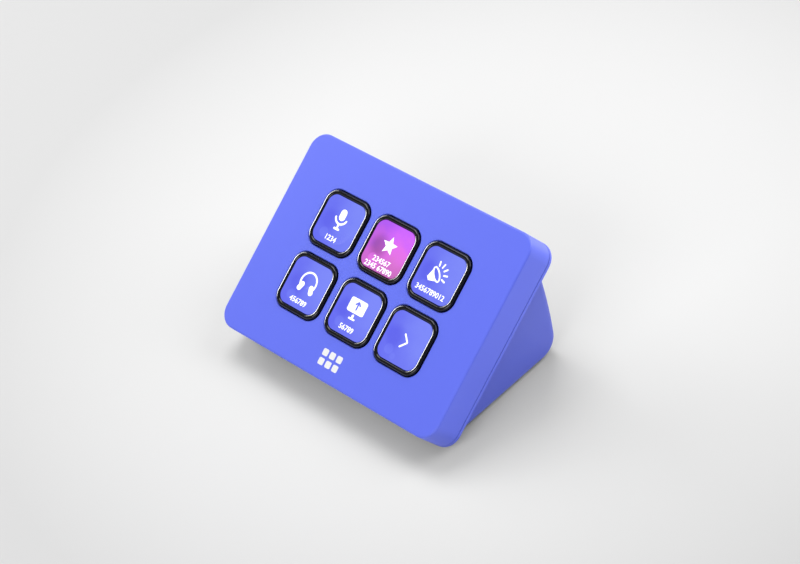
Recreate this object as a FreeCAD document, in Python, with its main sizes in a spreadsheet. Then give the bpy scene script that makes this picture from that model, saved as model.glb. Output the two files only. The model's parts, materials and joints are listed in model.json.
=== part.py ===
"""A desk keypad of six picture keys: a sloping slab with the keys in its face, on a hollow wedge stand.

Slab pieces are drawn in the slab's own frame: X to the right, Y up the face, Z out of the face, with the origin
in the middle of the face. Stand pieces are drawn upright in the heel frame, whose origin is the slab's lower
rear corner. Both frames are then placed in the frame of the whole object: +Z up, the user at -Y, and the origin
on the table below the middle of the object.
"""

import FreeCAD, Part
import Sketcher
import math
import os
import sys

OUT = "parts"
COLUMNS = 3
ROWS = 2
TOUCH = 1e-4

SIZES = [
    # slab
    ("corner_radius", 5.1, "corner radius of the slab's outline"),
    ("face_tilt", 34.3, "angle of the face above the table, in degrees"),
    ("side_room", 2.55, "room between the case bosses and the cover's lip"),
    ("face_wall", 2.0, "thickness of the front shell's face"),
    ("side_wall", 2.0, "thickness of the front shell's sides"),
    ("face_round", 0.5, "rounding round the edge of the face"),
    ("seam_gap", 0.25, "groove between the front shell and the rear cover"),
    ("cover_thick", 1.45, "thickness of the rear cover"),
    ("cover_round", 0.6, "rounding round the rear cover's back edge"),
    ("lip_height", 1.7, "height of the rear cover's lip inside the shell"),
    ("lip_thick", 1.2, "thickness of that lip"),
    ("lip_gap", 0.15, "clearance between the lip and the shell"),
    ("catch_width", 8.0, "width of a snap catch on the lip"),
    ("catch_depth", 0.5, "how far a catch stands out of the lip"),
    ("catch_height", 0.6, "height of a catch"),
    ("catch_pitch", 22.0, "distance between snap catches"),
    # keys
    ("key_pitch", 19.34, "distance between key centres"),
    ("key_web", 2.74, "distance between the frames of two keys"),
    ("key_corner", 3.8, "corner radius of a key's frame"),
    ("key_gap", 0.3, "gap round a key in its opening"),
    ("opening_bevel", 0.2, "bevel round each key opening"),
    ("key_rise", 0.6, "height of a key's rim above the face"),
    ("key_travel", 1.2, "how far a key can be pressed"),
    ("key_rest_gap", 0.1, "gap between a key's flange and the face at rest"),
    ("rim_round", 0.5, "outer rounding of a key's rim"),
    ("rim_bevel", 0.42, "inner bevel of a key's rim"),
    ("flange_out", 0.8, "how far the flange that keeps a key in stands out"),
    ("flange_corner", 4.2, "corner radius of that flange"),
    ("flange_thick", 0.8, "thickness of that flange"),
    ("rim_width", 1.35, "width of a key's black rim"),
    ("window_corner", 2.75, "corner radius of the clear block"),
    ("window_gap", 0.05, "clearance of the clear block in its frame"),
    ("window_drop", 0.15, "how far the clear block's top lies below the rim"),
    ("window_foot", 0.6, "thickness of the clear block's foot"),
    ("window_foot_out", 0.7, "how far the clear block's foot stands out"),
    ("dish_radius", 110.0, "radius of the dished top of the clear block"),
    ("dish_depth", 0.18, "depth of that dish in the middle"),
    ("rib_thick", 0.6, "thickness of the guide ribs between the keys"),
    # spring mat, switch board and display
    ("dome_spare", 0.2, "height left to a key's spring skirt when the key is down"),
    ("dome_base_inset", 0.1, "skirt inside the key's flange where it meets the mat"),
    ("dome_top_inset", 0.4, "skirt inside the key's flange under the key"),
    ("dome_wall", 0.6, "wall of the skirt"),
    ("dome_gap", 0.05, "gap between skirt and key flange at rest"),
    ("mat_side", 0.2, "mat inside the switch board, left and right"),
    ("mat_end", 1.1, "mat inside the switch board, above and below"),
    ("mat_corner", 2.0, "corner radius of the mat"),
    ("mat_thick", 0.6, "thickness of the mat"),
    ("sight_gap", 0.3, "gap round a clear block's foot in the openings below it"),
    ("sight_corner", 3.6, "corner radius of those openings"),
    ("pcb_end", 1.0, "switch board beyond the tray, above and below"),
    ("pcb_corner", 1.5, "corner radius of the switch board"),
    ("pcb_thick", 1.0, "thickness of the switch board"),
    ("glass_side", 1.76, "display beyond the keys, left and right"),
    ("glass_end", 2.23, "display beyond the keys, above and below"),
    ("glass_corner", 0.5, "corner radius of the display glass"),
    ("glass_thick", 1.2, "thickness of the display glass"),
    ("glass_gap", 0.2, "gap between switch board and display glass"),
    ("light_thick", 0.9, "thickness of the display's backlight"),
    ("can_wall", 0.3, "sheet of the display's metal can"),
    ("can_gap", 0.15, "clearance of the glass in its can"),
    ("can_drop", 0.2, "how far the can's rim lies below the glass"),
    ("tray_floor", 0.6, "floor of the display tray"),
    ("tray_wall", 0.6, "wall of the display tray"),
    ("tray_gap", 0.15, "clearance of the can in the tray"),
    ("ear_spacing", 44.0, "distance across between the tray's ears"),
    ("ear_out", 3.2, "distance of the ears' holes from the tray"),
    ("ear_radius", 2.2, "half the width of an ear"),
    ("ear_corner", 2.0, "corner radius of an ear"),
    ("ear_thick", 1.5, "thickness of an ear"),
    ("ear_drop", 0.6, "ears' seats below the underside of the switch board"),
    ("ear_room", 0.15, "room between the ears and the cover's lip"),
    ("tray_room", 0.65, "room between the tray and the rear cover"),
    # fasteners
    ("boss_radius", 2.6, "radius of the case screw bosses"),
    ("tray_boss_radius", 2.0, "radius of the bosses for the tray"),
    ("pilot_radius", 0.95, "radius of the screw pilots"),
    ("screw_radius", 0.9, "radius of every screw's shank"),
    ("screw_hole_radius", 1.3, "radius of clearance holes for screws"),
    ("screw_head_radius", 1.8, "radius of every screw's head"),
    ("screw_head_height", 1.0, "height of every screw's head"),
    ("counterbore_radius", 2.05, "radius of the screw wells in the stand"),
    ("boss_gap", 0.3, "gap between the tray and the case bosses"),
    ("case_low", 14.0, "lower case screws, below the middle of the face"),
    ("case_high", 1.0, "upper case screws, below the middle of the face"),
    ("case_seat", 6.5, "stand post left under a case screw's head"),
    ("case_bite", 4.4, "how far a case screw enters the front shell"),
    ("post_inset", 4.4, "stand screws inside the stand's sides"),
    ("stand_low", 19.5, "lower stand screws, below the middle of the face"),
    ("stand_high", 14.0, "upper stand screws, above the middle of the face"),
    ("stand_bite", 4.0, "how far a stand screw enters its post"),
    ("board_bite", 3.0, "how far a board screw enters its post"),
    ("tray_bite", 3.0, "how far a tray screw enters its boss"),
    ("pilot_spare", 0.6, "how much deeper a pilot is than its screw"),
    # rear cover openings
    ("cable_way_width", 40.0, "width of the cable opening in the rear cover"),
    ("cable_way_low", 8.0, "lower edge of that opening, below the middle"),
    ("cable_way_high", 9.0, "upper edge of that opening, above the middle"),
    ("cable_way_corner", 2.0, "corner radius of that opening"),
    # stand, in the heel frame
    ("stand_inset", 3.0, "stand inside the slab's sides"),
    ("stand_depth", 45.7, "length of the stand's base from the heel"),
    ("stand_reach", 54.7, "length of the stand along the slab's back"),
    ("toe_length", 2.0, "slab left free below the stand"),
    ("back_bow", 150.0, "radius of the stand's bowed back"),
    ("rump_round", 6.0, "radius between the stand's base and back"),
    ("stand_round", 2.0, "rounding of the stand's side edges"),
    ("stand_wall", 2.2, "wall of the stand"),
    ("toe_rim", 6.0, "rim of the stand at the toe"),
    ("stand_post_radius", 2.6, "radius of the posts in the stand"),
    ("lug_width", 7.0, "width of a locating lug on the rear cover"),
    ("lug_height", 3.0, "height of a locating lug"),
    ("lug_thick", 1.6, "thickness of a locating lug"),
    ("lug_corner", 0.4, "corner radius of a locating lug"),
    ("lug_pitch", 40.0, "distance between the two lugs"),
    ("lug_gap", 0.2, "clearance between a lug and the stand"),
    # foot pad
    ("pad_side", 2.0, "rubber foot pad beyond the case screws"),
    ("pad_start", 6.0, "front edge of the pad behind the heel"),
    ("pad_length", 33.0, "length of the pad"),
    ("pad_corner", 4.0, "corner radius of the pad"),
    ("pad_recess", 0.8, "depth of the pad's recess in the stand"),
    ("pad_proud", 0.6, "how far the pad stands out of the recess"),
    ("pad_gap", 0.15, "clearance round the pad"),
    # main board and its socket, in the heel frame
    ("main_width", 46.0, "width of the main board"),
    ("main_gap", 0.38, "gap between the main board and the stand's back wall"),
    ("main_length", 25.0, "length of the main board"),
    ("main_corner", 1.5, "corner radius of the main board"),
    ("main_thick", 1.6, "thickness of the main board"),
    ("main_level", 6.4, "underside of the main board above the stand's base"),
    ("main_inset", 3.0, "distance of the board's screws from its edges"),
    ("main_post_radius", 2.2, "radius of the main board's posts"),
    ("plug_shell_width", 8.94, "outside width of the cable socket"),
    ("plug_shell_height", 3.26, "outside height of the cable socket"),
    ("plug_shell_wall", 0.3, "sheet of the cable socket"),
    ("plug_shell_length", 7.3, "length of the cable socket"),
    ("plug_shell_inset", 0.8, "how far the socket's mouth lies inside the back"),
    ("plug_end_flat", 0.1, "flat left at each round end of the socket"),
    ("plug_back_thick", 1.2, "closed back of the cable socket"),
    ("plug_hole_gap", 0.3, "clearance of the socket in the stand's back"),
    ("plug_bevel", 0.6, "lead-in round the socket's hole"),
    ("plug_room", 8.0, "depth of the socket's hole"),
    ("tongue_width", 6.7, "width of the socket's tongue"),
    ("tongue_thick", 0.7, "thickness of the socket's tongue"),
    ("tongue_length", 4.6, "length of the socket's tongue"),
    ("tongue_corner", 0.18, "rounding of the tongue's edges"),
    ("tongue_gap", 0.02, "clearance of the socket's back in its shell"),
    # flat cables and their connectors
    ("ribbon_thick", 0.2, "thickness of the flat cables"),
    ("display_ribbon_width", 16.0, "width of the display's flat cable"),
    ("display_ribbon_side", -9.0, "middle of the display's flat cable"),
    ("display_ribbon_up", 4.0, "where that cable leaves the display"),
    ("display_ribbon_bend", 3.0, "bend radius of the display's flat cable"),
    ("display_ribbon_drop", 6.15, "upright end of the display's cable above its connector"),
    ("keys_ribbon_width", 7.0, "width of the switch board's flat cable"),
    ("keys_ribbon_side", 12.0, "middle of the switch board's flat cable"),
    ("keys_ribbon_out", 0.6, "distance of that cable from the tray"),
    ("keys_ribbon_turn", 4.0, "where that cable turns into the stand"),
    ("keys_ribbon_bend", 0.6, "bend radius in the slab"),
    ("keys_ribbon_drop", 1.43, "upright end of that cable above its connector"),
    ("keys_ribbon_room", 0.3, "room between that cable and the tray"),
    ("connector_height", 2.0, "height of the flat cable connectors"),
    ("connector_depth", 3.0, "depth of the flat cable connectors"),
    ("connector_margin", 1.5, "connector beyond its cable, each side"),
    ("ribbon_slot_depth", 2.0, "slot for the display cable in the tray"),
    ("ribbon_slot_corner", 0.5, "corner radius of that slot"),
    ("ribbon_side_room", 1.0, "slot beyond the cable, each side"),
    # chips
    ("processor_size", 9.0, "side of the processor"),
    ("processor_height", 1.0, "height of the processor"),
    ("processor_side", 12.4, "where the processor stands, right of the middle"),
    ("chip_row", 7.4, "distance of the chips from the board's back edge"),
    ("chip_corner", 0.2, "corner radius of the chips"),
    ("memory_width", 5.0, "width of the memory chip"),
    ("memory_length", 6.0, "length of the memory chip"),
    ("memory_side", 12.9, "where the memory stands, left of the middle"),
    ("chip_height", 0.9, "height of the small chips"),
    ("crystal_width", 3.2, "width of the clock crystal"),
    ("crystal_length", 2.5, "length of the clock crystal"),
    ("crystal_side", 6.9, "where the crystal stands, left of the middle"),
    ("crystal_place", 5.1, "distance of the crystal from the board's back edge"),
    # cutters
    ("cut_over", 1.0, "how far a cutter runs past the face it opens"),
]

doc = FreeCAD.newDocument("picture_keypad")
sheet = doc.addObject("Spreadsheet::Sheet", "Sizes")
for line, (alias, size, meaning) in enumerate(SIZES, start=1):
    sheet.set(f"A{line}", meaning)
    sheet.set(f"B{line}", str(size))
    sheet.setAlias(f"B{line}", alias)
doc.recompute()

subparts = {}


def number(formula):
    """The value of a formula on the sheet's names, such as Sizes.key_pitch / 2."""
    found = sheet.evalExpression(str(formula))
    return float(getattr(found, "Value", found))


def bind(thing, field, formula):
    """Ties one field of an object to a formula on the sheet's names."""
    thing.setExpression(field, str(formula))


def keep(node, thing, placement):
    """Names a finished sub-part and puts it in its place."""
    thing.Label = node
    thing.Placement = placement
    subparts[node] = thing


# key sizes, as formulas
KEY_SIZE = "(Sizes.key_pitch - Sizes.key_web)"
FLANGE_SIZE = f"({KEY_SIZE} + 2 * Sizes.flange_out)"
WINDOW_SIZE = f"({KEY_SIZE} - 2 * Sizes.rim_width)"
WINDOW_FOOT = f"({WINDOW_SIZE} + 2 * Sizes.window_foot_out)"
SIGHT_SIZE = f"({WINDOW_FOOT} + 2 * Sizes.sight_gap)"
OPENING = f"({KEY_SIZE} + 2 * Sizes.key_gap)"
BORE = f"({WINDOW_SIZE} + 2 * Sizes.window_gap)"

# outlines in the slab and below it, from the display outwards
GLASS_WIDTH = f"({COLUMNS - 1} * Sizes.key_pitch + {KEY_SIZE} + 2 * Sizes.glass_side)"
GLASS_HEIGHT = f"({ROWS - 1} * Sizes.key_pitch + {KEY_SIZE} + 2 * Sizes.glass_end)"
CAN_WIDTH = f"({GLASS_WIDTH} + 2 * (Sizes.can_gap + Sizes.can_wall))"
CAN_HEIGHT = f"({GLASS_HEIGHT} + 2 * (Sizes.can_gap + Sizes.can_wall))"
TRAY_WIDTH = f"({CAN_WIDTH} + 2 * (Sizes.tray_gap + Sizes.tray_wall))"
TRAY_HEIGHT = f"({CAN_HEIGHT} + 2 * (Sizes.tray_gap + Sizes.tray_wall))"
PCB_HEIGHT = f"({TRAY_HEIGHT} + 2 * Sizes.pcb_end)"
MAT_WIDTH = f"({TRAY_WIDTH} - 2 * Sizes.mat_side)"
MAT_HEIGHT = f"({PCB_HEIGHT} - 2 * Sizes.mat_end)"
EAR_REACH = f"({TRAY_HEIGHT} / 2 + Sizes.ear_out)"
CASE_SPACING = f"({TRAY_WIDTH} + 2 * (Sizes.boss_gap + Sizes.boss_radius))"
LIP_INSET = "(Sizes.side_wall + Sizes.lip_gap)"
LIP_ROOM = f"({LIP_INSET} + Sizes.lip_thick)"
FACE_WIDTH = f"({CASE_SPACING} + 2 * (Sizes.boss_radius + Sizes.side_room + {LIP_ROOM}))"
FACE_HEIGHT = f"(2 * ({EAR_REACH} + Sizes.ear_radius + Sizes.ear_room + {LIP_ROOM}))"
STAND_WIDTH = f"({FACE_WIDTH} - 2 * Sizes.stand_inset)"
STAND_SPACING = f"({STAND_WIDTH} - 2 * Sizes.post_inset)"
PAD_WIDTH = f"({CASE_SPACING} + 2 * Sizes.pad_side)"

# depths below the face, as formulas
FLANGE_TOP = "(Sizes.face_wall + Sizes.key_rest_gap)"
FLANGE_FOOT = f"({FLANGE_TOP} + Sizes.flange_thick)"
MAT_TOP = f"({FLANGE_FOOT} + Sizes.key_travel + Sizes.dome_spare)"
PCB_TOP = f"({MAT_TOP} + Sizes.mat_thick)"
PCB_FOOT = f"({PCB_TOP} + Sizes.pcb_thick)"
EAR_LEVEL = f"({PCB_FOOT} + Sizes.ear_drop)"
GLASS_TOP = f"({PCB_FOOT} + Sizes.glass_gap)"
LIGHT_TOP = f"({GLASS_TOP} + Sizes.glass_thick)"
CAN_FLOOR = f"({LIGHT_TOP} + Sizes.light_thick)"
TRAY_FLOOR = f"({CAN_FLOOR} + Sizes.can_wall)"
TRAY_FOOT = f"({TRAY_FLOOR} + Sizes.tray_floor)"
COVER_TOP = f"({TRAY_FOOT} + Sizes.tray_room)"
SHELL_DEPTH = f"({COVER_TOP} - Sizes.seam_gap)"
SLAB_DEPTH = f"({COVER_TOP} + Sizes.cover_thick)"
CATCH_FOOT = f"({COVER_TOP} - (Sizes.lip_height - Sizes.catch_height) / 2)"
TILT = "(Sizes.face_tilt * 1 deg)"
MAIN_TOP = "(Sizes.main_level + Sizes.main_thick)"

# the two frames in the frame of the whole object
tilt = math.radians(number("Sizes.face_tilt"))
half_height = number(FACE_HEIGHT) / 2
slab_depth = number(SLAB_DEPTH)
front_round = number("Sizes.face_round")
back_round = number("Sizes.cover_round")
foremost = (
    -(half_height - front_round) * math.cos(tilt)
    + front_round * math.sin(tilt)
    - front_round
)
rearmost = (
    (half_height - back_round) * math.cos(tilt)
    + (slab_depth - back_round) * math.sin(tilt)
    + back_round
)
slab_y = -(foremost + rearmost) / 2
heel_z = number("Sizes.pad_proud")
slab_z = heel_z + half_height * math.sin(tilt) + slab_depth * math.cos(tilt)
heel_y = slab_y - half_height * math.cos(tilt) + slab_depth * math.sin(tilt)
turn = FreeCAD.Rotation(FreeCAD.Vector(1, 0, 0), number("Sizes.face_tilt"))
SLAB = FreeCAD.Placement(FreeCAD.Vector(0, slab_y, slab_z), turn)
HEEL = FreeCAD.Placement(FreeCAD.Vector(0, heel_y, heel_z), FreeCAD.Rotation())


def heel_point(up, out):
    """A point of the slab frame's middle plane, as (y, z) in the heel frame."""
    along = up + half_height
    above = out + slab_depth
    return (
        along * math.cos(tilt) - above * math.sin(tilt),
        along * math.sin(tilt) + above * math.cos(tilt),
    )


def back_surface(level):
    """How far behind the heel the stand's bowed back lies at a height."""
    reach = number("Sizes.stand_reach")
    low = FreeCAD.Vector(number("Sizes.stand_depth"), 0, 0)
    high = FreeCAD.Vector(reach * math.cos(tilt), reach * math.sin(tilt), 0)
    chord = high - low
    inward = FreeCAD.Vector(-chord.y, chord.x, 0).normalize()
    radius = number("Sizes.back_bow")
    to_centre = math.sqrt(radius**2 - (chord.Length / 2) ** 2)
    centre = (low + high) * 0.5 + inward * to_centre
    return centre.x + math.sqrt(radius**2 - (level - centre.y) ** 2)


MAIN_BACK = f"({back_surface(number(MAIN_TOP))} - Sizes.stand_wall - Sizes.main_gap)"
MAIN_START = f"({MAIN_BACK} - Sizes.main_length)"


# sketches and features


def new_body(name):
    return doc.addObject("PartDesign::Body", name)


def new_sketch(body, name, level="0", plane="XY_Plane"):
    """A sketch on one of the body's own planes, shifted along the plane's normal by a formula."""
    sketch = body.newObject("Sketcher::SketchObject", name)
    origin = [f for f in body.Origin.OriginFeatures if f.Role == plane][0]
    sketch.AttachmentSupport = (origin, "")
    sketch.MapMode = "FlatFace"
    if level != "0":
        bind(sketch, "AttachmentOffset.Base.z", level)
    return sketch


def hold(sketch, wanted):
    """Adds pairs of a constraint and the formula that it is tied to, if any."""
    first = sketch.ConstraintCount
    sketch.addConstraint([constraint for constraint, _ in wanted])
    for index, (_, formula) in enumerate(wanted, start=first):
        if formula:
            bind(sketch, f"Constraints[{index}]", formula)


def fix_point(shape, end, across, along):
    """Constraints that hold one point of a sketch at two formulas, measured from the sketch's origin."""
    held = []
    for kind, formula in (("DistanceX", across), ("DistanceY", along)):
        value = number(formula)
        if same(value, 0):
            axis = -2 if kind == "DistanceX" else -1
            on_axis = Sketcher.Constraint("PointOnObject", shape, end, axis)
            held.append((on_axis, None))
        elif value > 0:
            held.append((Sketcher.Constraint(kind, -1, 1, shape, end, value), formula))
        else:
            back = Sketcher.Constraint(kind, shape, end, -1, 1, -value)
            held.append((back, f"-({formula})"))
    return held


def draw_box(sketch, width, height, radius, across="0", along="0"):
    """A rectangle with round corners, its middle at (across, along), every size a formula."""
    w, h, r = number(width) / 2, number(height) / 2, number(radius)
    cx, cy = number(across), number(along)
    z_up = FreeCAD.Vector(0, 0, 1)
    arcs = []
    for quarter, (sx, sy) in enumerate(((1, 1), (-1, 1), (-1, -1), (1, -1))):
        middle = FreeCAD.Vector(cx + sx * (w - r), cy + sy * (h - r), 0)
        begin = quarter * math.pi / 2
        circle = Part.Circle(middle, z_up, r)
        arcs.append(Part.ArcOfCircle(circle, begin, begin + math.pi / 2))
    sides = [
        Part.LineSegment(arc.EndPoint, following.StartPoint)
        for arc, following in zip(arcs, arcs[1:] + arcs[:1])
    ]
    first = sketch.addGeometry(arcs + sides, False)[0]
    wanted = []
    for quarter in range(4):
        arc, side = first + quarter, first + 4 + quarter
        following = first + (quarter + 1) % 4
        way = "Horizontal" if quarter % 2 == 0 else "Vertical"
        wanted.append((Sketcher.Constraint("Tangent", arc, 2, side, 1), None))
        wanted.append((Sketcher.Constraint("Tangent", side, 2, following, 1), None))
        wanted.append((Sketcher.Constraint(way, side), None))
    for quarter in range(1, 4):
        wanted.append((Sketcher.Constraint("Equal", first, first + quarter), None))
    wanted.append((Sketcher.Constraint("Radius", first, r), radius))
    to_side = f"({width} / 2 - {radius})"
    to_top = f"({height} / 2 - {radius})"
    wanted += fix_point(first, 3, f"{across} + {to_side}", f"{along} + {to_top}")
    wanted += fix_point(first + 2, 3, f"{across} - {to_side}", f"{along} - {to_top}")
    hold(sketch, wanted)


def draw_circle(sketch, radius, across, along):
    """A circle with its size and place given by formulas."""
    centre = FreeCAD.Vector(number(across), number(along), 0)
    shape = Part.Circle(centre, FreeCAD.Vector(0, 0, 1), number(radius))
    circle = sketch.addGeometry(shape, False)
    wanted = [(Sketcher.Constraint("Radius", circle, number(radius)), radius)]
    hold(sketch, wanted + fix_point(circle, 3, across, along))


def draw_corners(sketch, corners, bowed, bow_radius):
    """A closed outline through corners given as pairs of formulas. The side that starts at the corner
    numbered bowed is an arc of bow_radius that swells outwards."""
    points = [FreeCAD.Vector(number(a), number(b), 0) for a, b in corners]
    sides = []
    for index, begin in enumerate(points):
        finish = points[(index + 1) % len(points)]
        if index == bowed:
            chord = finish - begin
            outward = FreeCAD.Vector(chord.y, -chord.x, 0).normalize()
            radius = number(bow_radius)
            rise = radius - math.sqrt(radius**2 - (chord.Length / 2) ** 2)
            middle = (begin + finish) * 0.5 + outward * rise
            sides.append(Part.Arc(begin, middle, finish))
        else:
            sides.append(Part.LineSegment(begin, finish))
    numbers = sketch.addGeometry(sides, False)
    wanted = []
    for index, side in enumerate(numbers):
        following = numbers[(index + 1) % len(numbers)]
        joined = Sketcher.Constraint("Coincident", side, 2, following, 1)
        wanted.append((joined, None))
    for side, (across, along) in zip(numbers, corners):
        wanted += fix_point(side, 1, across, along)
    bow = Sketcher.Constraint("Radius", numbers[bowed], number(bow_radius))
    wanted.append((bow, bow_radius))
    hold(sketch, wanted)


def extrude(body, kind, name, sketch, length, backwards=False, midplane=False):
    """A Pad or a Pocket of a sketch. A pad goes along the sketch's normal, a pocket against it, and
    backwards turns either round."""
    feature = body.newObject(f"PartDesign::{kind}", name)
    feature.Profile = sketch
    bind(feature, "Length", length)
    feature.Reversed = backwards
    feature.Midplane = midplane
    if kind == "Pocket":
        doc.recompute()
        removed = feature.BaseFeature.Shape.Volume - feature.Shape.Volume
        if removed < TOUCH:
            sys.exit(f"{body.Name}.{name} cuts nothing")
    return feature


def round_edges(body, name, size, test, kind="Fillet"):
    """A Fillet or Chamfer on those edges of the body so far whose bounding box passes a test."""
    doc.recompute()
    base = body.Tip
    names = [
        f"Edge{index}"
        for index, edge in enumerate(base.Shape.Edges, start=1)
        if test(edge.BoundBox)
    ]
    if not names:
        sys.exit(f"{body.Name}.{name} finds no edge")
    feature = body.newObject(f"PartDesign::{kind}", name)
    feature.Base = (base, names)
    bind(feature, "Radius" if kind == "Fillet" else "Size", size)
    return feature


def same(first, second):
    return abs(first - second) < TOUCH


def flat_at(box, height):
    """Whether an edge's box lies flat at one height."""
    return same(box.ZMin, height) and same(box.ZMax, height)


def touches_rim(box, width, height):
    """Whether an edge's box reaches the outside of a width by height outline about the origin."""
    across = max(abs(box.XMin), abs(box.XMax))
    along = max(abs(box.YMin), abs(box.YMax))
    return across > width / 2 - TOUCH or along > height / 2 - TOUCH


def key_places():
    """The keys' numbers and middles as formulas, along the top row first."""
    places = []
    for row in range(ROWS):
        for column in range(COLUMNS):
            across = f"({column - (COLUMNS - 1) / 2}) * Sizes.key_pitch"
            along = f"({(ROWS - 1) / 2 - row}) * Sizes.key_pitch"
            places.append((row * COLUMNS + column + 1, across, along))
    return places


def key_placement(across, along):
    """The slab's placement, moved to the middle of one key."""
    shift = FreeCAD.Vector(number(across), number(along), 0)
    return SLAB.multiply(FreeCAD.Placement(shift, FreeCAD.Rotation()))


CASE_SCREWS = [
    (f"{side} * {CASE_SPACING} / 2", f"-Sizes.{level}")
    for side in (-1, 1)
    for level in ("case_low", "case_high")
]
STAND_SCREWS = [
    (f"{side} * {STAND_SPACING} / 2", level)
    for side in (-1, 1)
    for level in ("-Sizes.stand_low", "Sizes.stand_high")
]
TRAY_SCREWS = [
    (f"{side} * Sizes.ear_spacing / 2", f"{level} * {EAR_REACH}")
    for side in (-1, 1)
    for level in (-1, 1)
]
BOARD_SCREWS = [
    (f"{side} * (Sizes.main_width / 2 - Sizes.main_inset)", level)
    for side in (-1, 1)
    for level in (
        f"{MAIN_START} + Sizes.main_inset",
        f"{MAIN_START} + Sizes.main_length - Sizes.main_inset",
    )
]
CATCHES = [f"{step} * Sizes.catch_pitch" for step in (-1, 0, 1)]


# slab


def add_key_guides(body):
    """The key openings, and the ribs between the keys that guide them and press on the mat."""
    guide = new_sketch(body, "guide_outline", "-Sizes.face_wall")
    draw_box(
        guide,
        f"({COLUMNS} * Sizes.key_pitch + Sizes.rib_thick)",
        f"({ROWS} * Sizes.key_pitch + Sizes.rib_thick)",
        "(Sizes.flange_corner + Sizes.key_gap + Sizes.rib_thick)",
    )
    deep = f"{MAT_TOP} - Sizes.face_wall"
    extrude(body, "Pad", "guide_block", guide, deep, backwards=True)
    cells = new_sketch(body, "guide_cells", "-Sizes.face_wall")
    openings = new_sketch(body, "key_openings")
    cell = "(Sizes.key_pitch - Sizes.rib_thick)"
    cell_corner = "(Sizes.flange_corner + Sizes.key_gap)"
    corner = "(Sizes.key_corner + Sizes.key_gap)"
    for _, across, along in key_places():
        draw_box(cells, cell, cell, cell_corner, across, along)
        draw_box(openings, OPENING, OPENING, corner, across, along)
    extrude(body, "Pocket", "guide_hollows", cells, deep)
    extrude(body, "Pocket", "key_holes", openings, "Sizes.face_wall")


def add_bosses(body, name, places, radius, foot, bite):
    """Screw bosses below the face that end at a depth foot, with pilot holes for screws of a given bite."""
    bosses = new_sketch(body, f"{name}_bosses", "-Sizes.face_wall")
    pilots = new_sketch(body, f"{name}_pilots", f"-{foot}")
    for across, along in places:
        draw_circle(bosses, radius, across, along)
        draw_circle(pilots, "Sizes.pilot_radius", across, along)
    tall = f"{foot} - Sizes.face_wall"
    extrude(body, "Pad", f"{name}_boss_pads", bosses, tall, backwards=True)
    deep = f"{bite} + Sizes.pilot_spare"
    extrude(body, "Pocket", f"{name}_pilot_holes", pilots, deep, backwards=True)


def make_front_shell():
    body = new_body("front_shell")
    outline = new_sketch(body, "shell_outline")
    draw_box(
        outline, FACE_WIDTH, FACE_HEIGHT, "Sizes.corner_radius"
    )
    extrude(body, "Pad", "shell_block", outline, SHELL_DEPTH, backwards=True)
    inside = new_sketch(body, "shell_inside", "-Sizes.face_wall")
    draw_box(
        inside,
        f"({FACE_WIDTH} - 2 * Sizes.side_wall)",
        f"({FACE_HEIGHT} - 2 * Sizes.side_wall)",
        "(Sizes.corner_radius - Sizes.side_wall)",
    )
    extrude(
        body, "Pocket", "shell_hollow", inside, f"{SHELL_DEPTH} - Sizes.face_wall"
    )
    add_key_guides(body)
    add_bosses(
        body, "case", CASE_SCREWS, "Sizes.boss_radius", COVER_TOP, "Sizes.case_bite"
    )
    add_bosses(
        body,
        "tray",
        TRAY_SCREWS,
        "Sizes.tray_boss_radius",
        EAR_LEVEL,
        "Sizes.tray_bite",
    )
    notches = new_sketch(body, "catch_notches", f"-({CATCH_FOOT} + Sizes.lip_gap)")
    for across in CATCHES:
        draw_box(
            notches,
            "(Sizes.catch_width + 4 * Sizes.lip_gap)",
            "(2 * Sizes.catch_depth)",
            "Sizes.lip_gap",
            across,
            f"({FACE_HEIGHT} / 2 - Sizes.side_wall)",
        )
    extrude(
        body,
        "Pocket",
        "catch_pockets",
        notches,
        "Sizes.catch_height + 2 * Sizes.lip_gap",
        backwards=True,
    )
    width, height = number(FACE_WIDTH), number(FACE_HEIGHT)
    round_edges(
        body,
        "face_edge",
        "Sizes.face_round",
        lambda box: flat_at(box, 0) and touches_rim(box, width, height),
    )
    margin = number("Sizes.face_round") + TOUCH
    round_edges(
        body,
        "opening_edges",
        "Sizes.opening_bevel",
        lambda box: (
            flat_at(box, 0)
            and not touches_rim(box, width - 2 * margin, height - 2 * margin)
        ),
        kind="Chamfer",
    )
    keep("front_shell", body, SLAB)


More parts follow.
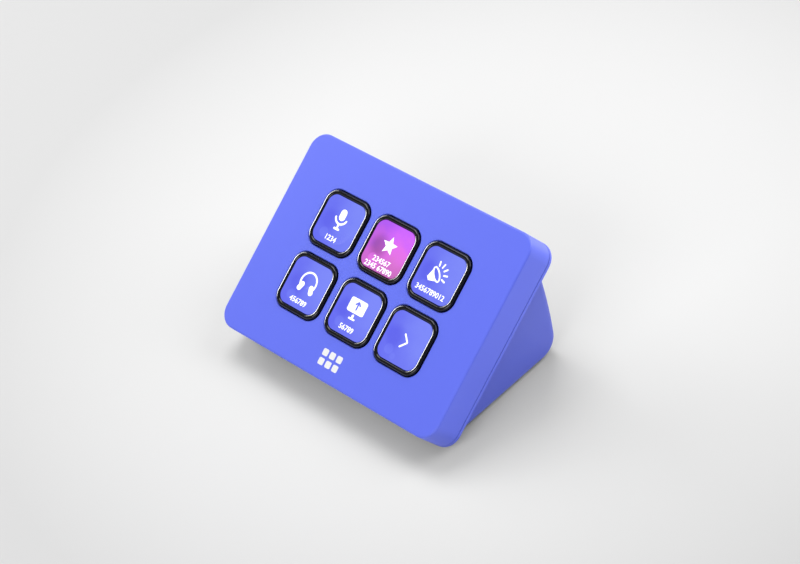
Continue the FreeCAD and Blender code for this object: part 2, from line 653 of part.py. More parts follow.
def make_rear_cover():
    body = new_body("rear_cover")
    outline = new_sketch(body, "cover_outline", f"-{COVER_TOP}")
    draw_box(
        outline, FACE_WIDTH, FACE_HEIGHT, "Sizes.corner_radius"
    )
    extrude(body, "Pad", "cover_plate", outline, "Sizes.cover_thick", backwards=True)
    lip = new_sketch(body, "lip_outline", f"-{COVER_TOP}")
    for ring in (LIP_INSET, LIP_ROOM):
        draw_box(
            lip,
            f"({FACE_WIDTH} - 2 * {ring})",
            f"({FACE_HEIGHT} - 2 * {ring})",
            f"(Sizes.corner_radius - {ring})",
        )
    extrude(body, "Pad", "cover_lip", lip, "Sizes.lip_height")
    catches = new_sketch(body, "catch_outlines", f"-{CATCH_FOOT}")
    for across in CATCHES:
        draw_box(
            catches,
            "Sizes.catch_width",
            "(2 * Sizes.catch_depth)",
            "Sizes.lip_gap",
            across,
            f"({FACE_HEIGHT} / 2 - {LIP_INSET})",
        )
    extrude(body, "Pad", "snap_catches", catches, "Sizes.catch_height")
    holes = new_sketch(body, "cover_openings", f"-{COVER_TOP}")
    draw_box(
        holes,
        "Sizes.cable_way_width",
        "(Sizes.cable_way_low + Sizes.cable_way_high)",
        "Sizes.cable_way_corner",
        "0",
        "(Sizes.cable_way_high - Sizes.cable_way_low) / 2",
    )
    for across, along in CASE_SCREWS + STAND_SCREWS:
        draw_circle(holes, "Sizes.screw_hole_radius", across, along)
    extrude(body, "Pocket", "cover_holes", holes, "Sizes.cover_thick")
    lugs = new_sketch(body, "lug_outlines", f"-{SLAB_DEPTH}")
    for side in (-1, 1):
        draw_box(
            lugs,
            "Sizes.lug_width",
            "Sizes.lug_thick",
            "Sizes.lug_corner",
            f"{side} * Sizes.lug_pitch / 2",
            f"(Sizes.stand_reach - {FACE_HEIGHT} / 2"
            f" - Sizes.stand_wall / cos{TILT} - Sizes.lug_height * tan{TILT}"
            " - Sizes.lug_gap - Sizes.lug_thick / 2)",
        )
    extrude(body, "Pad", "locating_lugs", lugs, "Sizes.lug_height", backwards=True)
    width, height = number(FACE_WIDTH), number(FACE_HEIGHT)
    round_edges(
        body,
        "back_edge",
        "Sizes.cover_round",
        lambda box: flat_at(box, -slab_depth) and touches_rim(box, width, height),
    )
    keep("rear_cover", body, SLAB)


def make_key_frame(key, across, along):
    """The black frame: a rounded rim, a skirt and the flange that keeps it under the face."""
    body = new_body(f"key_{key}_frame")
    tube = new_sketch(body, "tube_outline", "Sizes.key_rise")
    draw_box(tube, KEY_SIZE, KEY_SIZE, "Sizes.key_corner")
    tall = f"Sizes.key_rise + {FLANGE_FOOT}"
    extrude(body, "Pad", "tube", tube, tall, backwards=True)
    flange = new_sketch(body, "flange_outline", f"-{FLANGE_TOP}")
    draw_box(flange, FLANGE_SIZE, FLANGE_SIZE, "Sizes.flange_corner")
    extrude(body, "Pad", "flange", flange, "Sizes.flange_thick", backwards=True)
    bore = new_sketch(body, "bore_outline", "Sizes.key_rise")
    draw_box(bore, BORE, BORE, "(Sizes.window_corner + Sizes.window_gap)")
    extrude(body, "Pocket", "bore", bore, tall)
    top, size = number("Sizes.key_rise"), number(KEY_SIZE)
    round_edges(
        body,
        "rim_outside",
        "Sizes.rim_round",
        lambda box: flat_at(box, top) and touches_rim(box, size, size),
    )
    inner = number(f"{BORE} + Sizes.rim_bevel")
    round_edges(
        body,
        "rim_inside",
        "Sizes.rim_bevel",
        lambda box: flat_at(box, top) and not touches_rim(box, inner, inner),
        kind="Chamfer",
    )
    keep(f"key_{key}_frame", body, key_placement(across, along))


def make_key_window(key, across, along):
    """The clear block that the picture is seen through, dished on top, with a foot under the frame."""
    body = new_body(f"key_{key}_window")
    top = "(Sizes.key_rise - Sizes.window_drop)"
    block = new_sketch(body, "block_outline", top)
    draw_box(block, WINDOW_SIZE, WINDOW_SIZE, "Sizes.window_corner")
    extrude(body, "Pad", "block", block, f"{top} + {FLANGE_FOOT}", backwards=True)
    foot = new_sketch(body, "foot_outline", f"-{FLANGE_FOOT}")
    draw_box(
        foot,
        WINDOW_FOOT,
        WINDOW_FOOT,
        "(Sizes.window_corner + Sizes.window_foot_out)",
    )
    extrude(body, "Pad", "foot", foot, "Sizes.window_foot", backwards=True)
    dish = body.newObject("PartDesign::SubtractiveSphere", "dish")
    origin = [f for f in body.Origin.OriginFeatures if f.Role == "XY_Plane"][0]
    dish.AttachmentSupport = (origin, "")
    dish.MapMode = "FlatFace"
    bind(dish, "Radius", "Sizes.dish_radius")
    bind(
        dish,
        "AttachmentOffset.Base.z",
        f"{top} - Sizes.dish_depth + Sizes.dish_radius",
    )
    doc.recompute()
    keep(f"key_{key}_window", body, key_placement(across, along))


def make_key_spring(key, across, along):
    """The silicone skirt that carries a key and pushes it back up."""
    body = new_body(f"key_{key}_spring")
    ends = [
        (f"-{MAT_TOP}", "Sizes.dome_base_inset"),
        (f"-({FLANGE_FOOT} + Sizes.dome_gap)", "Sizes.dome_top_inset"),
    ]
    for kind, inset in (("Additive", "0"), ("Subtractive", "Sizes.dome_wall")):
        sections = []
        for level, own_inset in ends:
            section = new_sketch(body, f"{kind}_section", level)
            side = f"({FLANGE_SIZE} - 2 * ({own_inset} + {inset}))"
            draw_box(section, side, side, f"(Sizes.flange_corner - {inset})")
            sections.append(section)
        loft = body.newObject(f"PartDesign::{kind}Loft", f"{kind}_skirt")
        loft.Profile = sections[0]
        loft.Sections = sections[1:]
        loft.Ruled = True
    keep(f"key_{key}_spring", body, key_placement(across, along))


def make_slab_sheet(node, width, height, radius, top, thick, sights=False):
    """A flat sheet in the slab with round corners, and with an opening below each key if it has sights."""
    body = new_body(node)
    outline = new_sketch(body, "sheet_outline", f"-{top}")
    draw_box(outline, width, height, radius)
    if sights:
        size, corner = SIGHT_SIZE, "Sizes.sight_corner"
        for _, across, along in key_places():
            draw_box(outline, size, size, corner, across, along)
    extrude(body, "Pad", "sheet", outline, thick, backwards=True)
    keep(node, body, SLAB)


def make_display_can():
    """The folded metal can round the display glass and its backlight."""
    body = new_body("display_can")
    rim = f"({GLASS_TOP} + Sizes.can_drop)"
    outline = new_sketch(body, "can_outline", f"-{rim}")
    draw_box(outline, CAN_WIDTH, CAN_HEIGHT, "(2 * Sizes.can_wall)")
    extrude(
        body,
        "Pad",
        "can_block",
        outline,
        f"{TRAY_FLOOR} - {rim}",
        backwards=True,
    )
    inside = new_sketch(body, "can_inside", f"-{rim}")
    draw_box(
        inside,
        f"({GLASS_WIDTH} + 2 * Sizes.can_gap)",
        f"({GLASS_HEIGHT} + 2 * Sizes.can_gap)",
        "Sizes.can_wall",
    )
    extrude(body, "Pocket", "can_hollow", inside, f"{CAN_FLOOR} - {rim}")
    keep("display_can", body, SLAB)


def make_display_tray():
    """The plastic tray that clamps display, switch board and mat against the front shell's ribs."""
    body = new_body("display_tray")
    outline = new_sketch(body, "tray_outline", f"-{PCB_FOOT}")
    draw_box(outline, TRAY_WIDTH, TRAY_HEIGHT, "(2 * Sizes.tray_wall)")
    tall = f"{TRAY_FOOT} - {PCB_FOOT}"
    extrude(body, "Pad", "tray_block", outline, tall, backwards=True)
    ears = new_sketch(body, "ear_outlines", f"-{EAR_LEVEL}")
    neck = f"({EAR_REACH} - {TRAY_HEIGHT} / 2)"
    for side in (-1, 1):
        for end in (-1, 1):
            draw_box(
                ears,
                "(2 * Sizes.ear_radius)",
                f"({neck} + 2 * Sizes.ear_radius)",
                "Sizes.ear_corner",
                f"{side} * Sizes.ear_spacing / 2",
                f"{end} * ({EAR_REACH} - {neck} / 2)",
            )
    extrude(body, "Pad", "ears", ears, "Sizes.ear_thick", backwards=True)
    inside = new_sketch(body, "tray_inside", f"-{PCB_FOOT}")
    draw_box(
        inside,
        f"({CAN_WIDTH} + 2 * Sizes.tray_gap)",
        f"({CAN_HEIGHT} + 2 * Sizes.tray_gap)",
        "Sizes.tray_wall",
    )
    extrude(body, "Pocket", "tray_hollow", inside, f"{TRAY_FLOOR} - {PCB_FOOT}")
    holes = new_sketch(body, "tray_holes", f"-{PCB_FOOT}")
    for across, along in TRAY_SCREWS:
        draw_circle(holes, "Sizes.screw_hole_radius", across, along)
    draw_box(
        holes,
        "(Sizes.display_ribbon_width + 2 * Sizes.ribbon_side_room)",
        "Sizes.ribbon_slot_depth",
        "Sizes.ribbon_slot_corner",
        "Sizes.display_ribbon_side",
        "Sizes.display_ribbon_up",
    )
    extrude(body, "Pocket", "tray_openings", holes, tall)
    keep("display_tray", body, SLAB)


def add_piece(kind, name, placement, **sizes):
    """A Part primitive in its place, with every size a formula."""
    piece = doc.addObject(f"Part::{kind}", name)
    for field, formula in sizes.items():
        bind(piece, field, formula)
    piece.Placement = placement
    return piece


def join(name, pieces):
    """One object of several pieces."""
    joined = doc.addObject("Part::MultiFuse", name)
    joined.Shapes = pieces
    return joined


def cut(name, base, tool):
    """The base less the tool."""
    result = doc.addObject("Part::Cut", name)
    result.Base = base
    result.Tool = tool
    return result


def at(placement, x, y, z):
    """A placement moved inside its own frame."""
    return placement.multiply(
        FreeCAD.Placement(FreeCAD.Vector(x, y, z), FreeCAD.Rotation())
    )


def make_screws(node, frame, places, seat, length, head_up):
    """Round-headed screws. The heads sit at the height seat in the frame, with the shanks below them if
    head_up, and otherwise above."""
    flip = FreeCAD.Rotation(FreeCAD.Vector(1, 0, 0), 0 if head_up else 180)
    screws = []
    for index, (across, along) in enumerate(places):
        own = at(frame, number(across), number(along), number(seat))
        own = own.multiply(FreeCAD.Placement(FreeCAD.Vector(), flip))
        name = f"{node}_{index}"
        head = add_piece(
            "Cylinder",
            f"{name}_head",
            own,
            Radius="Sizes.screw_head_radius",
            Height="Sizes.screw_head_height",
        )
        shank = add_piece(
            "Cylinder",
            f"{name}_shank",
            at(own, 0, 0, -number(length)),
            Radius="Sizes.screw_radius",
            Height=length,
        )
        screws.append(join(name, [head, shank]))
    group = doc.addObject("Part::Compound", node)
    group.Links = screws
    keep(node, group, FreeCAD.Placement())


def make_all_screws():
    make_screws(
        "case_screws",
        SLAB,
        CASE_SCREWS,
        f"-({SLAB_DEPTH} + Sizes.case_seat)",
        f"{SLAB_DEPTH} + Sizes.case_seat - {COVER_TOP} + Sizes.case_bite",
        head_up=False,
    )
    make_screws(
        "stand_screws",
        SLAB,
        STAND_SCREWS,
        f"-{COVER_TOP}",
        "Sizes.cover_thick + Sizes.stand_bite",
        head_up=True,
    )
    make_screws(
        "tray_screws",
        SLAB,
        TRAY_SCREWS,
        f"-({EAR_LEVEL} + Sizes.ear_thick)",
        "Sizes.ear_thick + Sizes.tray_bite",
        head_up=False,
    )
    make_screws(
        "board_screws",
        HEEL,
        BOARD_SCREWS,
        MAIN_TOP,
        "Sizes.main_thick + Sizes.board_bite",
        head_up=True,
    )


def wedge_body(name, margin, toe, overshoot):
    """The wedge between table and slab in the heel frame, shrunk by a margin. Its side towards the slab
    stands out by an overshoot, so that a hollow breaks through there."""
    body = new_body(name)
    profile = new_sketch(body, f"{name}_profile", plane="YZ_Plane")
    lift = f"{overshoot} / cos{TILT}"
    top = f"(Sizes.stand_reach - {margin} / cos{TILT})"
    corners = [
        (f"{toe} * cos{TILT}", f"{toe} * sin{TILT} + {lift}"),
        (f"{toe} * cos{TILT}", margin),
        (f"Sizes.stand_depth - {margin}", margin),
        (f"{top} * cos{TILT}", f"{top} * sin{TILT} + {lift}"),
    ]
    draw_corners(profile, corners, 2, f"(Sizes.back_bow - {margin})")
    wide = f"{STAND_WIDTH} - 2 * {margin}"
    extrude(body, "Pad", "wedge", profile, wide, midplane=True)
    rump_y, rump_z = number(f"Sizes.stand_depth - {margin}"), number(margin)
    round_edges(
        body,
        "rump",
        f"Sizes.rump_round - {margin}",
        lambda box: (
            flat_at(box, rump_z) and same(box.YMin, rump_y) and same(box.YMax, rump_y)
        ),
    )
    return body


def slab_post(name, place, length, radius, start="0"):
    """A cylinder square to the slab, in the heel frame. It runs down from the height start above the rear
    cover's back, at a place of the face."""
    across, along = place
    foot = number(f"{start} - ({length})") - slab_depth
    placed = HEEL.inverse().multiply(at(SLAB, number(across), number(along), foot))
    return add_piece("Cylinder", name, placed, Radius=radius, Height=length)


def make_stand():
    outer = wedge_body("stand_outer", "0", "Sizes.toe_length", "0")
    half_width = number(STAND_WIDTH) / 2
    slope = math.tan(tilt)
    round_edges(
        outer,
        "side_edges",
        "Sizes.stand_round",
        lambda box: (
            same(abs(box.XMin), half_width)
            and same(box.XMin, box.XMax)
            and box.ZMax < box.YMax * slope - TOUCH
        ),
    )
    hollow = wedge_body(
        "stand_hollow", "Sizes.stand_wall", "Sizes.toe_rim", "Sizes.cut_over"
    )
    posts = [
        slab_post(f"post_{index}", place, "Sizes.stand_depth", "Sizes.stand_post_radius")
        for index, place in enumerate(CASE_SCREWS + STAND_SCREWS)
    ]
    for index, (across, along) in enumerate(BOARD_SCREWS):
        posts.append(
            add_piece(
                "Cylinder",
                f"board_post_{index}",
                at(FreeCAD.Placement(), number(across), number(along), 0),
                Radius="Sizes.main_post_radius",
                Height="Sizes.main_level",
            )
        )
    room = cut("stand_room", hollow, join("stand_posts", posts))
    walls = cut("stand_walls", outer, room)
    keep("stand", cut("stand", walls, make_stand_cutters()), HEEL)


def make_stand_cutters():
    """What is cut out of the stand: screw holes and wells, the pad's recess and the socket's hole."""
    cutters = []
    for index, place in enumerate(CASE_SCREWS):
        through = "Sizes.case_seat + 2 * Sizes.cut_over"
        cutters.append(
            slab_post(
                f"case_hole_{index}",
                place,
                through,
                "Sizes.screw_hole_radius",
                "Sizes.cut_over",
            )
        )
        cutters.append(
            slab_post(
                f"case_well_{index}",
                place,
                "Sizes.stand_depth",
                "Sizes.counterbore_radius",
                "-Sizes.case_seat",
            )
        )
    for index, place in enumerate(STAND_SCREWS):
        deep = "Sizes.stand_bite + Sizes.pilot_spare + Sizes.cut_over"
        cutters.append(
            slab_post(
                f"stand_pilot_{index}",
                place,
                deep,
                "Sizes.pilot_radius",
                "Sizes.cut_over",
            )
        )
    bite = "(Sizes.board_bite + Sizes.pilot_spare)"
    floor = number(f"Sizes.main_level - {bite}")
    for index, (across, along) in enumerate(BOARD_SCREWS):
        cutters.append(
            add_piece(
                "Cylinder",
                f"board_pilot_{index}",
                at(FreeCAD.Placement(), number(across), number(along), floor),
                Radius="Sizes.pilot_radius",
                Height=f"{bite} + Sizes.cut_over",
            )
        )
    cutters.append(make_pad_shape("pad_recess", "Sizes.pad_gap", "Sizes.cut_over"))
    cutters.append(make_socket_cutter())
    return join("stand_cutters", cutters)


def make_pad_shape(name, gap, proud):
    """The pad's block in the heel frame, grown by a gap, its underside below the stand by proud."""
    body = new_body(name)
    outline = new_sketch(body, "pad_outline", "Sizes.pad_recess")
    draw_box(
        outline,
        f"({PAD_WIDTH} + 2 * {gap})",
        f"(Sizes.pad_length + 2 * {gap})",
        f"(Sizes.pad_corner + {gap})",
        "0",
        "(Sizes.pad_start + Sizes.pad_length / 2)",
    )
    tall = f"Sizes.pad_recess + {proud}"
    extrude(body, "Pad", "pad_block", outline, tall, backwards=True)
    return body


SOCKET_LEVEL = f"({MAIN_TOP} + Sizes.plug_shell_height / 2)"
SOCKET_ROUND = "(Sizes.plug_shell_height / 2 - Sizes.plug_end_flat / 2)"
SOCKET_MOUTH = f"({back_surface(number(SOCKET_LEVEL))} - Sizes.plug_shell_inset)"


def upright_section(body, name, width, height, radius, place):
    """An upright sketch with round corners at the socket's level, place mm behind the heel."""
    outline = new_sketch(body, name, f"-({place})", plane="XZ_Plane")
    draw_box(outline, width, height, radius, "0", SOCKET_LEVEL)
    return outline


def make_socket_cutter():
    """The hole for the socket in the stand's back, with a bevelled lead-in."""
    body = new_body("socket_hole")
    wide = "(Sizes.plug_shell_width + 2 * Sizes.plug_hole_gap)"
    tall = "(Sizes.plug_shell_height + 2 * Sizes.plug_hole_gap)"
    radius = f"({SOCKET_ROUND} + Sizes.plug_hole_gap)"
    outside = f"({SOCKET_MOUTH} + Sizes.plug_shell_inset)"
    mouth = f"({outside} + Sizes.cut_over)"
    hole = upright_section(body, "hole_outline", wide, tall, radius, mouth)
    extrude(body, "Pad", "hole", hole, "Sizes.plug_room")
    sections = []
    grown = "(Sizes.cut_over + Sizes.plug_bevel)"
    for name, place, grow in (
        ("bevel_floor", f"{outside} - Sizes.plug_bevel", "0"),
        ("bevel_mouth", mouth, grown),
    ):
        sections.append(
            upright_section(
                body,
                name,
                f"({wide} + 2 * {grow})",
                f"({tall} + 2 * {grow})",
                f"({radius} + {grow})",
                place,
            )
        )
    loft = body.newObject("PartDesign::AdditiveLoft", "bevel")
    loft.Profile = sections[0]
    loft.Sections = sections[1:]
    loft.Ruled = True
    return body


def make_cable_socket():
    """The metal shell of the cable socket, its closed back and the tongue inside."""
    shell = new_body("cable_socket")
    wide, tall = "Sizes.plug_shell_width", "Sizes.plug_shell_height"
    mouth = upright_section(shell, "mouth", wide, tall, SOCKET_ROUND, SOCKET_MOUTH)
    wall = "Sizes.plug_shell_wall"
    draw_box(
        mouth,
        f"({wide} - 2 * {wall})",
        f"({tall} - 2 * {wall})",
        f"({SOCKET_ROUND} - {wall})",
        "0",
        SOCKET_LEVEL,
    )
    extrude(shell, "Pad", "tube", mouth, "Sizes.plug_shell_length")
    keep("cable_socket", shell, HEEL)
    tongue = new_body("socket_tongue")
    back_face = f"({SOCKET_MOUTH} - Sizes.plug_shell_length)"
    inset = "(Sizes.plug_shell_wall + Sizes.tongue_gap)"
    back = upright_section(
        tongue,
        "back_outline",
        f"({wide} - 2 * {inset})",
        f"({tall} - 2 * {inset})",
        f"({SOCKET_ROUND} - {inset})",
        back_face,
    )
    extrude(tongue, "Pad", "back", back, "Sizes.plug_back_thick", backwards=True)
    blade = upright_section(
        tongue,
        "tongue_outline",
        "Sizes.tongue_width",
        "Sizes.tongue_thick",
        "Sizes.tongue_corner",
        back_face,
    )
    reach = "Sizes.plug_back_thick + Sizes.tongue_length"
    extrude(tongue, "Pad", "tongue", blade, reach, backwards=True)
    keep("socket_tongue", tongue, HEEL)


def make_main_board():
    body = new_body("main_board")
    outline = new_sketch(body, "board_outline", "Sizes.main_level")
    draw_box(
        outline,
        "Sizes.main_width",
        "Sizes.main_length",
        "Sizes.main_corner",
        "0",
        f"({MAIN_START} + Sizes.main_length / 2)",
    )
    for across, along in BOARD_SCREWS:
        draw_circle(outline, "Sizes.screw_hole_radius", across, along)
    extrude(body, "Pad", "board", outline, "Sizes.main_thick")
    keep("main_board", body, HEEL)


def board_block(name, width, length, height, across, along):
    """A component that stands on the main board, its middle at (across, along) in the heel frame."""
    body = new_body(name)
    outline = new_sketch(body, "chip_outline", MAIN_TOP)
    draw_box(outline, width, length, "Sizes.chip_corner", across, along)
    extrude(body, "Pad", "chip", outline, height)
    return body


def make_chips():
    """Processor, memory and clock crystal as one group of separate solids."""
    chip_row = f"({MAIN_BACK} - Sizes.chip_row)"
    chips = [
        board_block(
            "processor",
            "Sizes.processor_size",
            "Sizes.processor_size",
            "Sizes.processor_height",
            "Sizes.processor_side",
            chip_row,
        ),
        board_block(
            "memory",
            "Sizes.memory_width",
            "Sizes.memory_length",
            "Sizes.chip_height",
            "-Sizes.memory_side",
            chip_row,
        ),
        board_block(
            "crystal",
            "Sizes.crystal_width",
            "Sizes.crystal_length",
            "Sizes.chip_height",
            "-Sizes.crystal_side",
            f"({MAIN_BACK} - Sizes.crystal_place)",
        ),
    ]
    group = doc.addObject("Part::Compound", "board_chips")
    group.Links = chips
    keep("board_chips", group, HEEL)


# flat cables and their connectors


def cable_end(start, drop):
    """The last two points of a flat cable that leaves the slab squarely at start: where it turns upright, a
    drop above its connector, and the connector's top."""
    top = number(f"{MAIN_TOP} + Sizes.connector_height")
    corner = top + number(drop)
    along = (start[1] - corner) / math.cos(tilt)
    place = start[0] + along * math.sin(tilt)
    return [(place, corner), (place, top)]


def display_route():
    """From the display's tray straight down into the stand."""
    start = heel_point(number("Sizes.display_ribbon_up"), -number(TRAY_FLOOR))
    return [start] + cable_end(start, "Sizes.display_ribbon_drop")


def keys_route():
    """From the switch board down beside the tray, up the slab below it, and down into the stand."""
    down = -number(f"{TRAY_HEIGHT} / 2 + Sizes.keys_ribbon_out")
    level = -number(f"{TRAY_FOOT} + Sizes.keys_ribbon_room")
    start = heel_point(down, -number(PCB_FOOT))
    lower = heel_point(down, level)
    turned = heel_point(-number("Sizes.keys_ribbon_turn"), level)
    return [start, lower, turned] + cable_end(turned, "Sizes.keys_ribbon_drop")


ROUTES = {"display": display_route(), "keys": keys_route()}


def make_connectors():
    """The two flat cable connectors on the main board."""
    blocks = [
        board_block(
            f"{name}_connector",
            f"(Sizes.{name}_ribbon_width + 2 * Sizes.connector_margin)",
            "Sizes.connector_depth",
            "Sizes.connector_height",
            f"Sizes.{name}_ribbon_side",
            str(route[-1][0]),
        )
        for name, route in ROUTES.items()
    ]
    group = doc.addObject("Part::Compound", "cable_connectors")
    group.Links = blocks
    keep("cable_connectors", group, HEEL)


def make_ribbon(node, points, bends, width, side):
    """A flat cable: straight runs joined by tangent arcs in one plane, with its width across that plane.
    The points are (y, z) in the heel frame."""
    vec = [FreeCAD.Vector(0, y, z) for y, z in points]
    edges = []
    begin = vec[0]
    for index, bend in enumerate(bends, start=1):
        into = (vec[index] - vec[index - 1]).normalize()
        out = (vec[index + 1] - vec[index]).normalize()
        turn_angle = into.getAngle(out)
        setback = bend * math.tan(turn_angle / 2)
        start = vec[index] - into * setback
        finish = vec[index] + out * setback
        inward = (out - into).normalize()
        centre = vec[index] + inward * (bend / math.cos(turn_angle / 2))
        middle = centre - inward * bend
        edges.append(Part.LineSegment(begin, start).toShape())
        edges.append(Part.Arc(start, middle, finish).toShape())
        begin = finish
    edges.append(Part.LineSegment(begin, vec[-1]).toShape())
    line = Part.Wire(edges)
    thick = number("Sizes.ribbon_thick")
    first = (vec[1] - vec[0]).normalize()
    across = FreeCAD.Vector(1, 0, 0)
    normal = across.cross(first) * (thick / 2)
    half = across * (number(width) / 2)
    section = Part.makePolygon(
        [
            vec[0] - half - normal,
            vec[0] + half - normal,
            vec[0] + half + normal,
            vec[0] - half + normal,
            vec[0] - half - normal,
        ]
    )
    strip = line.makePipeShell([section], True, False, 2)
    solid = Part.Solid(strip) if strip.ShapeType == "Shell" else strip
    expected = line.Length * thick * number(width)
    if abs(solid.Volume / expected - 1) > 0.02:
        sys.exit(f"{node} has the volume {solid.Volume:.2f}, not {expected:.2f}")
    feature = doc.addObject("Part::Feature", node)
    feature.Shape = solid
    keep(node, feature, at(HEEL, number(side), 0, 0))


def make_ribbons():
    make_ribbon(
        "display_ribbon",
        ROUTES["display"],
        [number("Sizes.display_ribbon_bend")],
        "Sizes.display_ribbon_width",
        "Sizes.display_ribbon_side",
    )
    bend = number("Sizes.keys_ribbon_bend")
    make_ribbon(
        "keys_ribbon",
        ROUTES["keys"],
        [bend, bend, 2 * bend],
        "Sizes.keys_ribbon_width",
        "Sizes.keys_ribbon_side",
    )


def make_everything():
    make_front_shell()
    make_rear_cover()
    for key, across, along in key_places():
        make_key_frame(key, across, along)
        make_key_window(key, across, along)
        make_key_spring(key, across, along)
    make_slab_sheet(
        "spring_mat",
        MAT_WIDTH,
        MAT_HEIGHT,
        "Sizes.mat_corner",
        MAT_TOP,
        "Sizes.mat_thick",
        sights=True,
    )
    make_slab_sheet(
        "switch_board",
        TRAY_WIDTH,
        PCB_HEIGHT,
        "Sizes.pcb_corner",
        PCB_TOP,
        "Sizes.pcb_thick",
        sights=True,
    )
    for node, top, thick in (
        ("display_glass", GLASS_TOP, "Sizes.glass_thick"),
        ("display_backlight", LIGHT_TOP, "Sizes.light_thick"),
    ):
        make_slab_sheet(
            node,
            GLASS_WIDTH,
            GLASS_HEIGHT,
            "Sizes.glass_corner",
            top,
            thick,
        )
    make_display_can()
    make_display_tray()
    make_stand()
    keep("foot_pad", make_pad_shape("foot_pad", "0", "Sizes.pad_proud"), HEEL)
    make_main_board()
    make_chips()
    make_connectors()
    make_cable_socket()
    make_ribbons()
    make_all_screws()


def check_everything():
    """Stops before anything is written if an object failed."""
    doc.recompute()
    for thing in doc.Objects:
        if "Invalid" in thing.State or "Error" in thing.State:
            sys.exit(f"{thing.Name} failed: {thing.State}")
    for node, thing in subparts.items():
        shape = thing.Shape
        if shape.isNull() or not shape.isValid() or not shape.Solids:
            sys.exit(f"{node} has no valid solid")
        if shape.Volume <= 0:
            sys.exit(f"{node} has no volume")


def write_everything():
    os.makedirs(OUT, exist_ok=True)
    for node, thing in subparts.items():
        thing.Shape.exportStep(f"{OUT}/{node}.step")
        print(f"{node}: {len(thing.Shape.Solids)} solids, {thing.Shape.Volume:.1f} mm3")


make_everything()
check_everything()
write_everything()
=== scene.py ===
"""Looks of a desk keypad with six lit picture keys: finishes, rims, skirts, prints, contacts and studio.

Slab places are (x, y, z) in millimetres: x to the right, y up the face, z out of the face, with the origin in
the middle of the face. Everything that is put into a mesh is in metres, in the frame of the whole object.
"""

import json
import math

import bpy
import numpy as np
from bpy.props import FloatProperty, FloatVectorProperty, PointerProperty
from mathutils import Euler, Matrix, Vector


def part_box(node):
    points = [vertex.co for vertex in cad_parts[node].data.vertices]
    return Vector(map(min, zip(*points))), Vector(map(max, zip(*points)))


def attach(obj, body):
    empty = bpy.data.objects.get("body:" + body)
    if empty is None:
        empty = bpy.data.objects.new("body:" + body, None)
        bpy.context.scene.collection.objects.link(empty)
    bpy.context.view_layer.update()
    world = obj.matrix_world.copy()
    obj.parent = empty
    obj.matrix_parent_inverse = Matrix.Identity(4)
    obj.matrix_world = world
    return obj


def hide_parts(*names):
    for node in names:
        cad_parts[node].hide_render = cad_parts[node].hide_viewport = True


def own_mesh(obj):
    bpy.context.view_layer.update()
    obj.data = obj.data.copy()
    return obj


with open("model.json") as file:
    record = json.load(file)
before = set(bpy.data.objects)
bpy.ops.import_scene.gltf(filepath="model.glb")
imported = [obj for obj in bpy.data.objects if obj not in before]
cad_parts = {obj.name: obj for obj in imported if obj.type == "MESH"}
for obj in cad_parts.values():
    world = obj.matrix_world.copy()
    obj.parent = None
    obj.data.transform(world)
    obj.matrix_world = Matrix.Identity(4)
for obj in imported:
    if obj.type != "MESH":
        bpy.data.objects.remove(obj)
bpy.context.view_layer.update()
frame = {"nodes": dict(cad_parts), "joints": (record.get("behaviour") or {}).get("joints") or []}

bl_info = {
    "name": "Picture keypad",
    "version": (1, 0, 0),
    "blender": (4, 5, 0),
    "location": "View3D > Sidebar > Keypad",
    "description": "Dresses the packed picture keypad and sets up its studio",
    "category": "Object",
}

MM = 0.001
KEYS = range(1, 7)
SHARP_ANGLE = math.radians(35)

# points along the round stretches of the key frames and of the skirts
RIM_CORNER_POINTS = 24
SHOULDER_POINTS = 12
EASE_POINTS = 6
SKIRT_CORNER_POINTS = 12


def srgb(red, green, blue):
    """A colour as it shows on screen, from 0 to 255, turned into Blender's linear values."""
    shown = np.array([red, green, blue]) / 255
    linear = np.where(shown <= 0.04045, shown / 12.92, ((shown + 0.055) / 1.055) ** 2.4)
    return tuple(float(value) for value in linear)


# the slab's own frame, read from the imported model

into_face = Vector(frame["joints"][0]["axis"]).normalized()
TILT = math.atan2(into_face.y, -into_face.z)
SLAB_AXES = np.array([[1, 0, 0], [0, math.cos(TILT), math.sin(TILT)], [0, -math.sin(TILT), math.cos(TILT)]])


def mesh_points(mesh):
    """A mesh's vertices as an array of places."""
    places = np.empty(len(mesh.vertices) * 3)
    mesh.vertices.foreach_get("co", places)
    return places.reshape(-1, 3)


def slab_limits(node):
    """A CAD node's lowest and highest corner along the slab's axes, in metres from the world's origin."""
    along = mesh_points(frame["nodes"][node].data) @ SLAB_AXES.T
    return along.min(0), along.max(0)


shell_low, shell_high = slab_limits("front_shell")
FACE_MIDDLE = np.array([*(shell_low + shell_high)[:2] / 2, shell_high[2]])


def on_slab(places):
    """Slab places in millimetres as points in the frame of the whole object, in metres."""
    return (np.asarray(places, float) * MM + FACE_MIDDLE) @ SLAB_AXES


def slab_box(node):
    """A CAD node's lowest and highest corner as slab places in millimetres."""
    low, high = slab_limits(node)
    return (low - FACE_MIDDLE) / MM, (high - FACE_MIDDLE) / MM


def key_middle(key):
    """The middle of a key as a slab place (x, y)."""
    low, high = slab_box(f"key_{key}_frame")
    return (low[:2] + high[:2]) / 2


frame_low, frame_high = slab_box("key_1_frame")
KEY_TOP = float(frame_high[2])
KEY_FOOT = float(frame_low[2])
FLANGE_HALF = float(frame_high[0] - frame_low[0]) / 2
WINDOW_TOP = float(slab_box("key_1_window")[1][2])


# settings


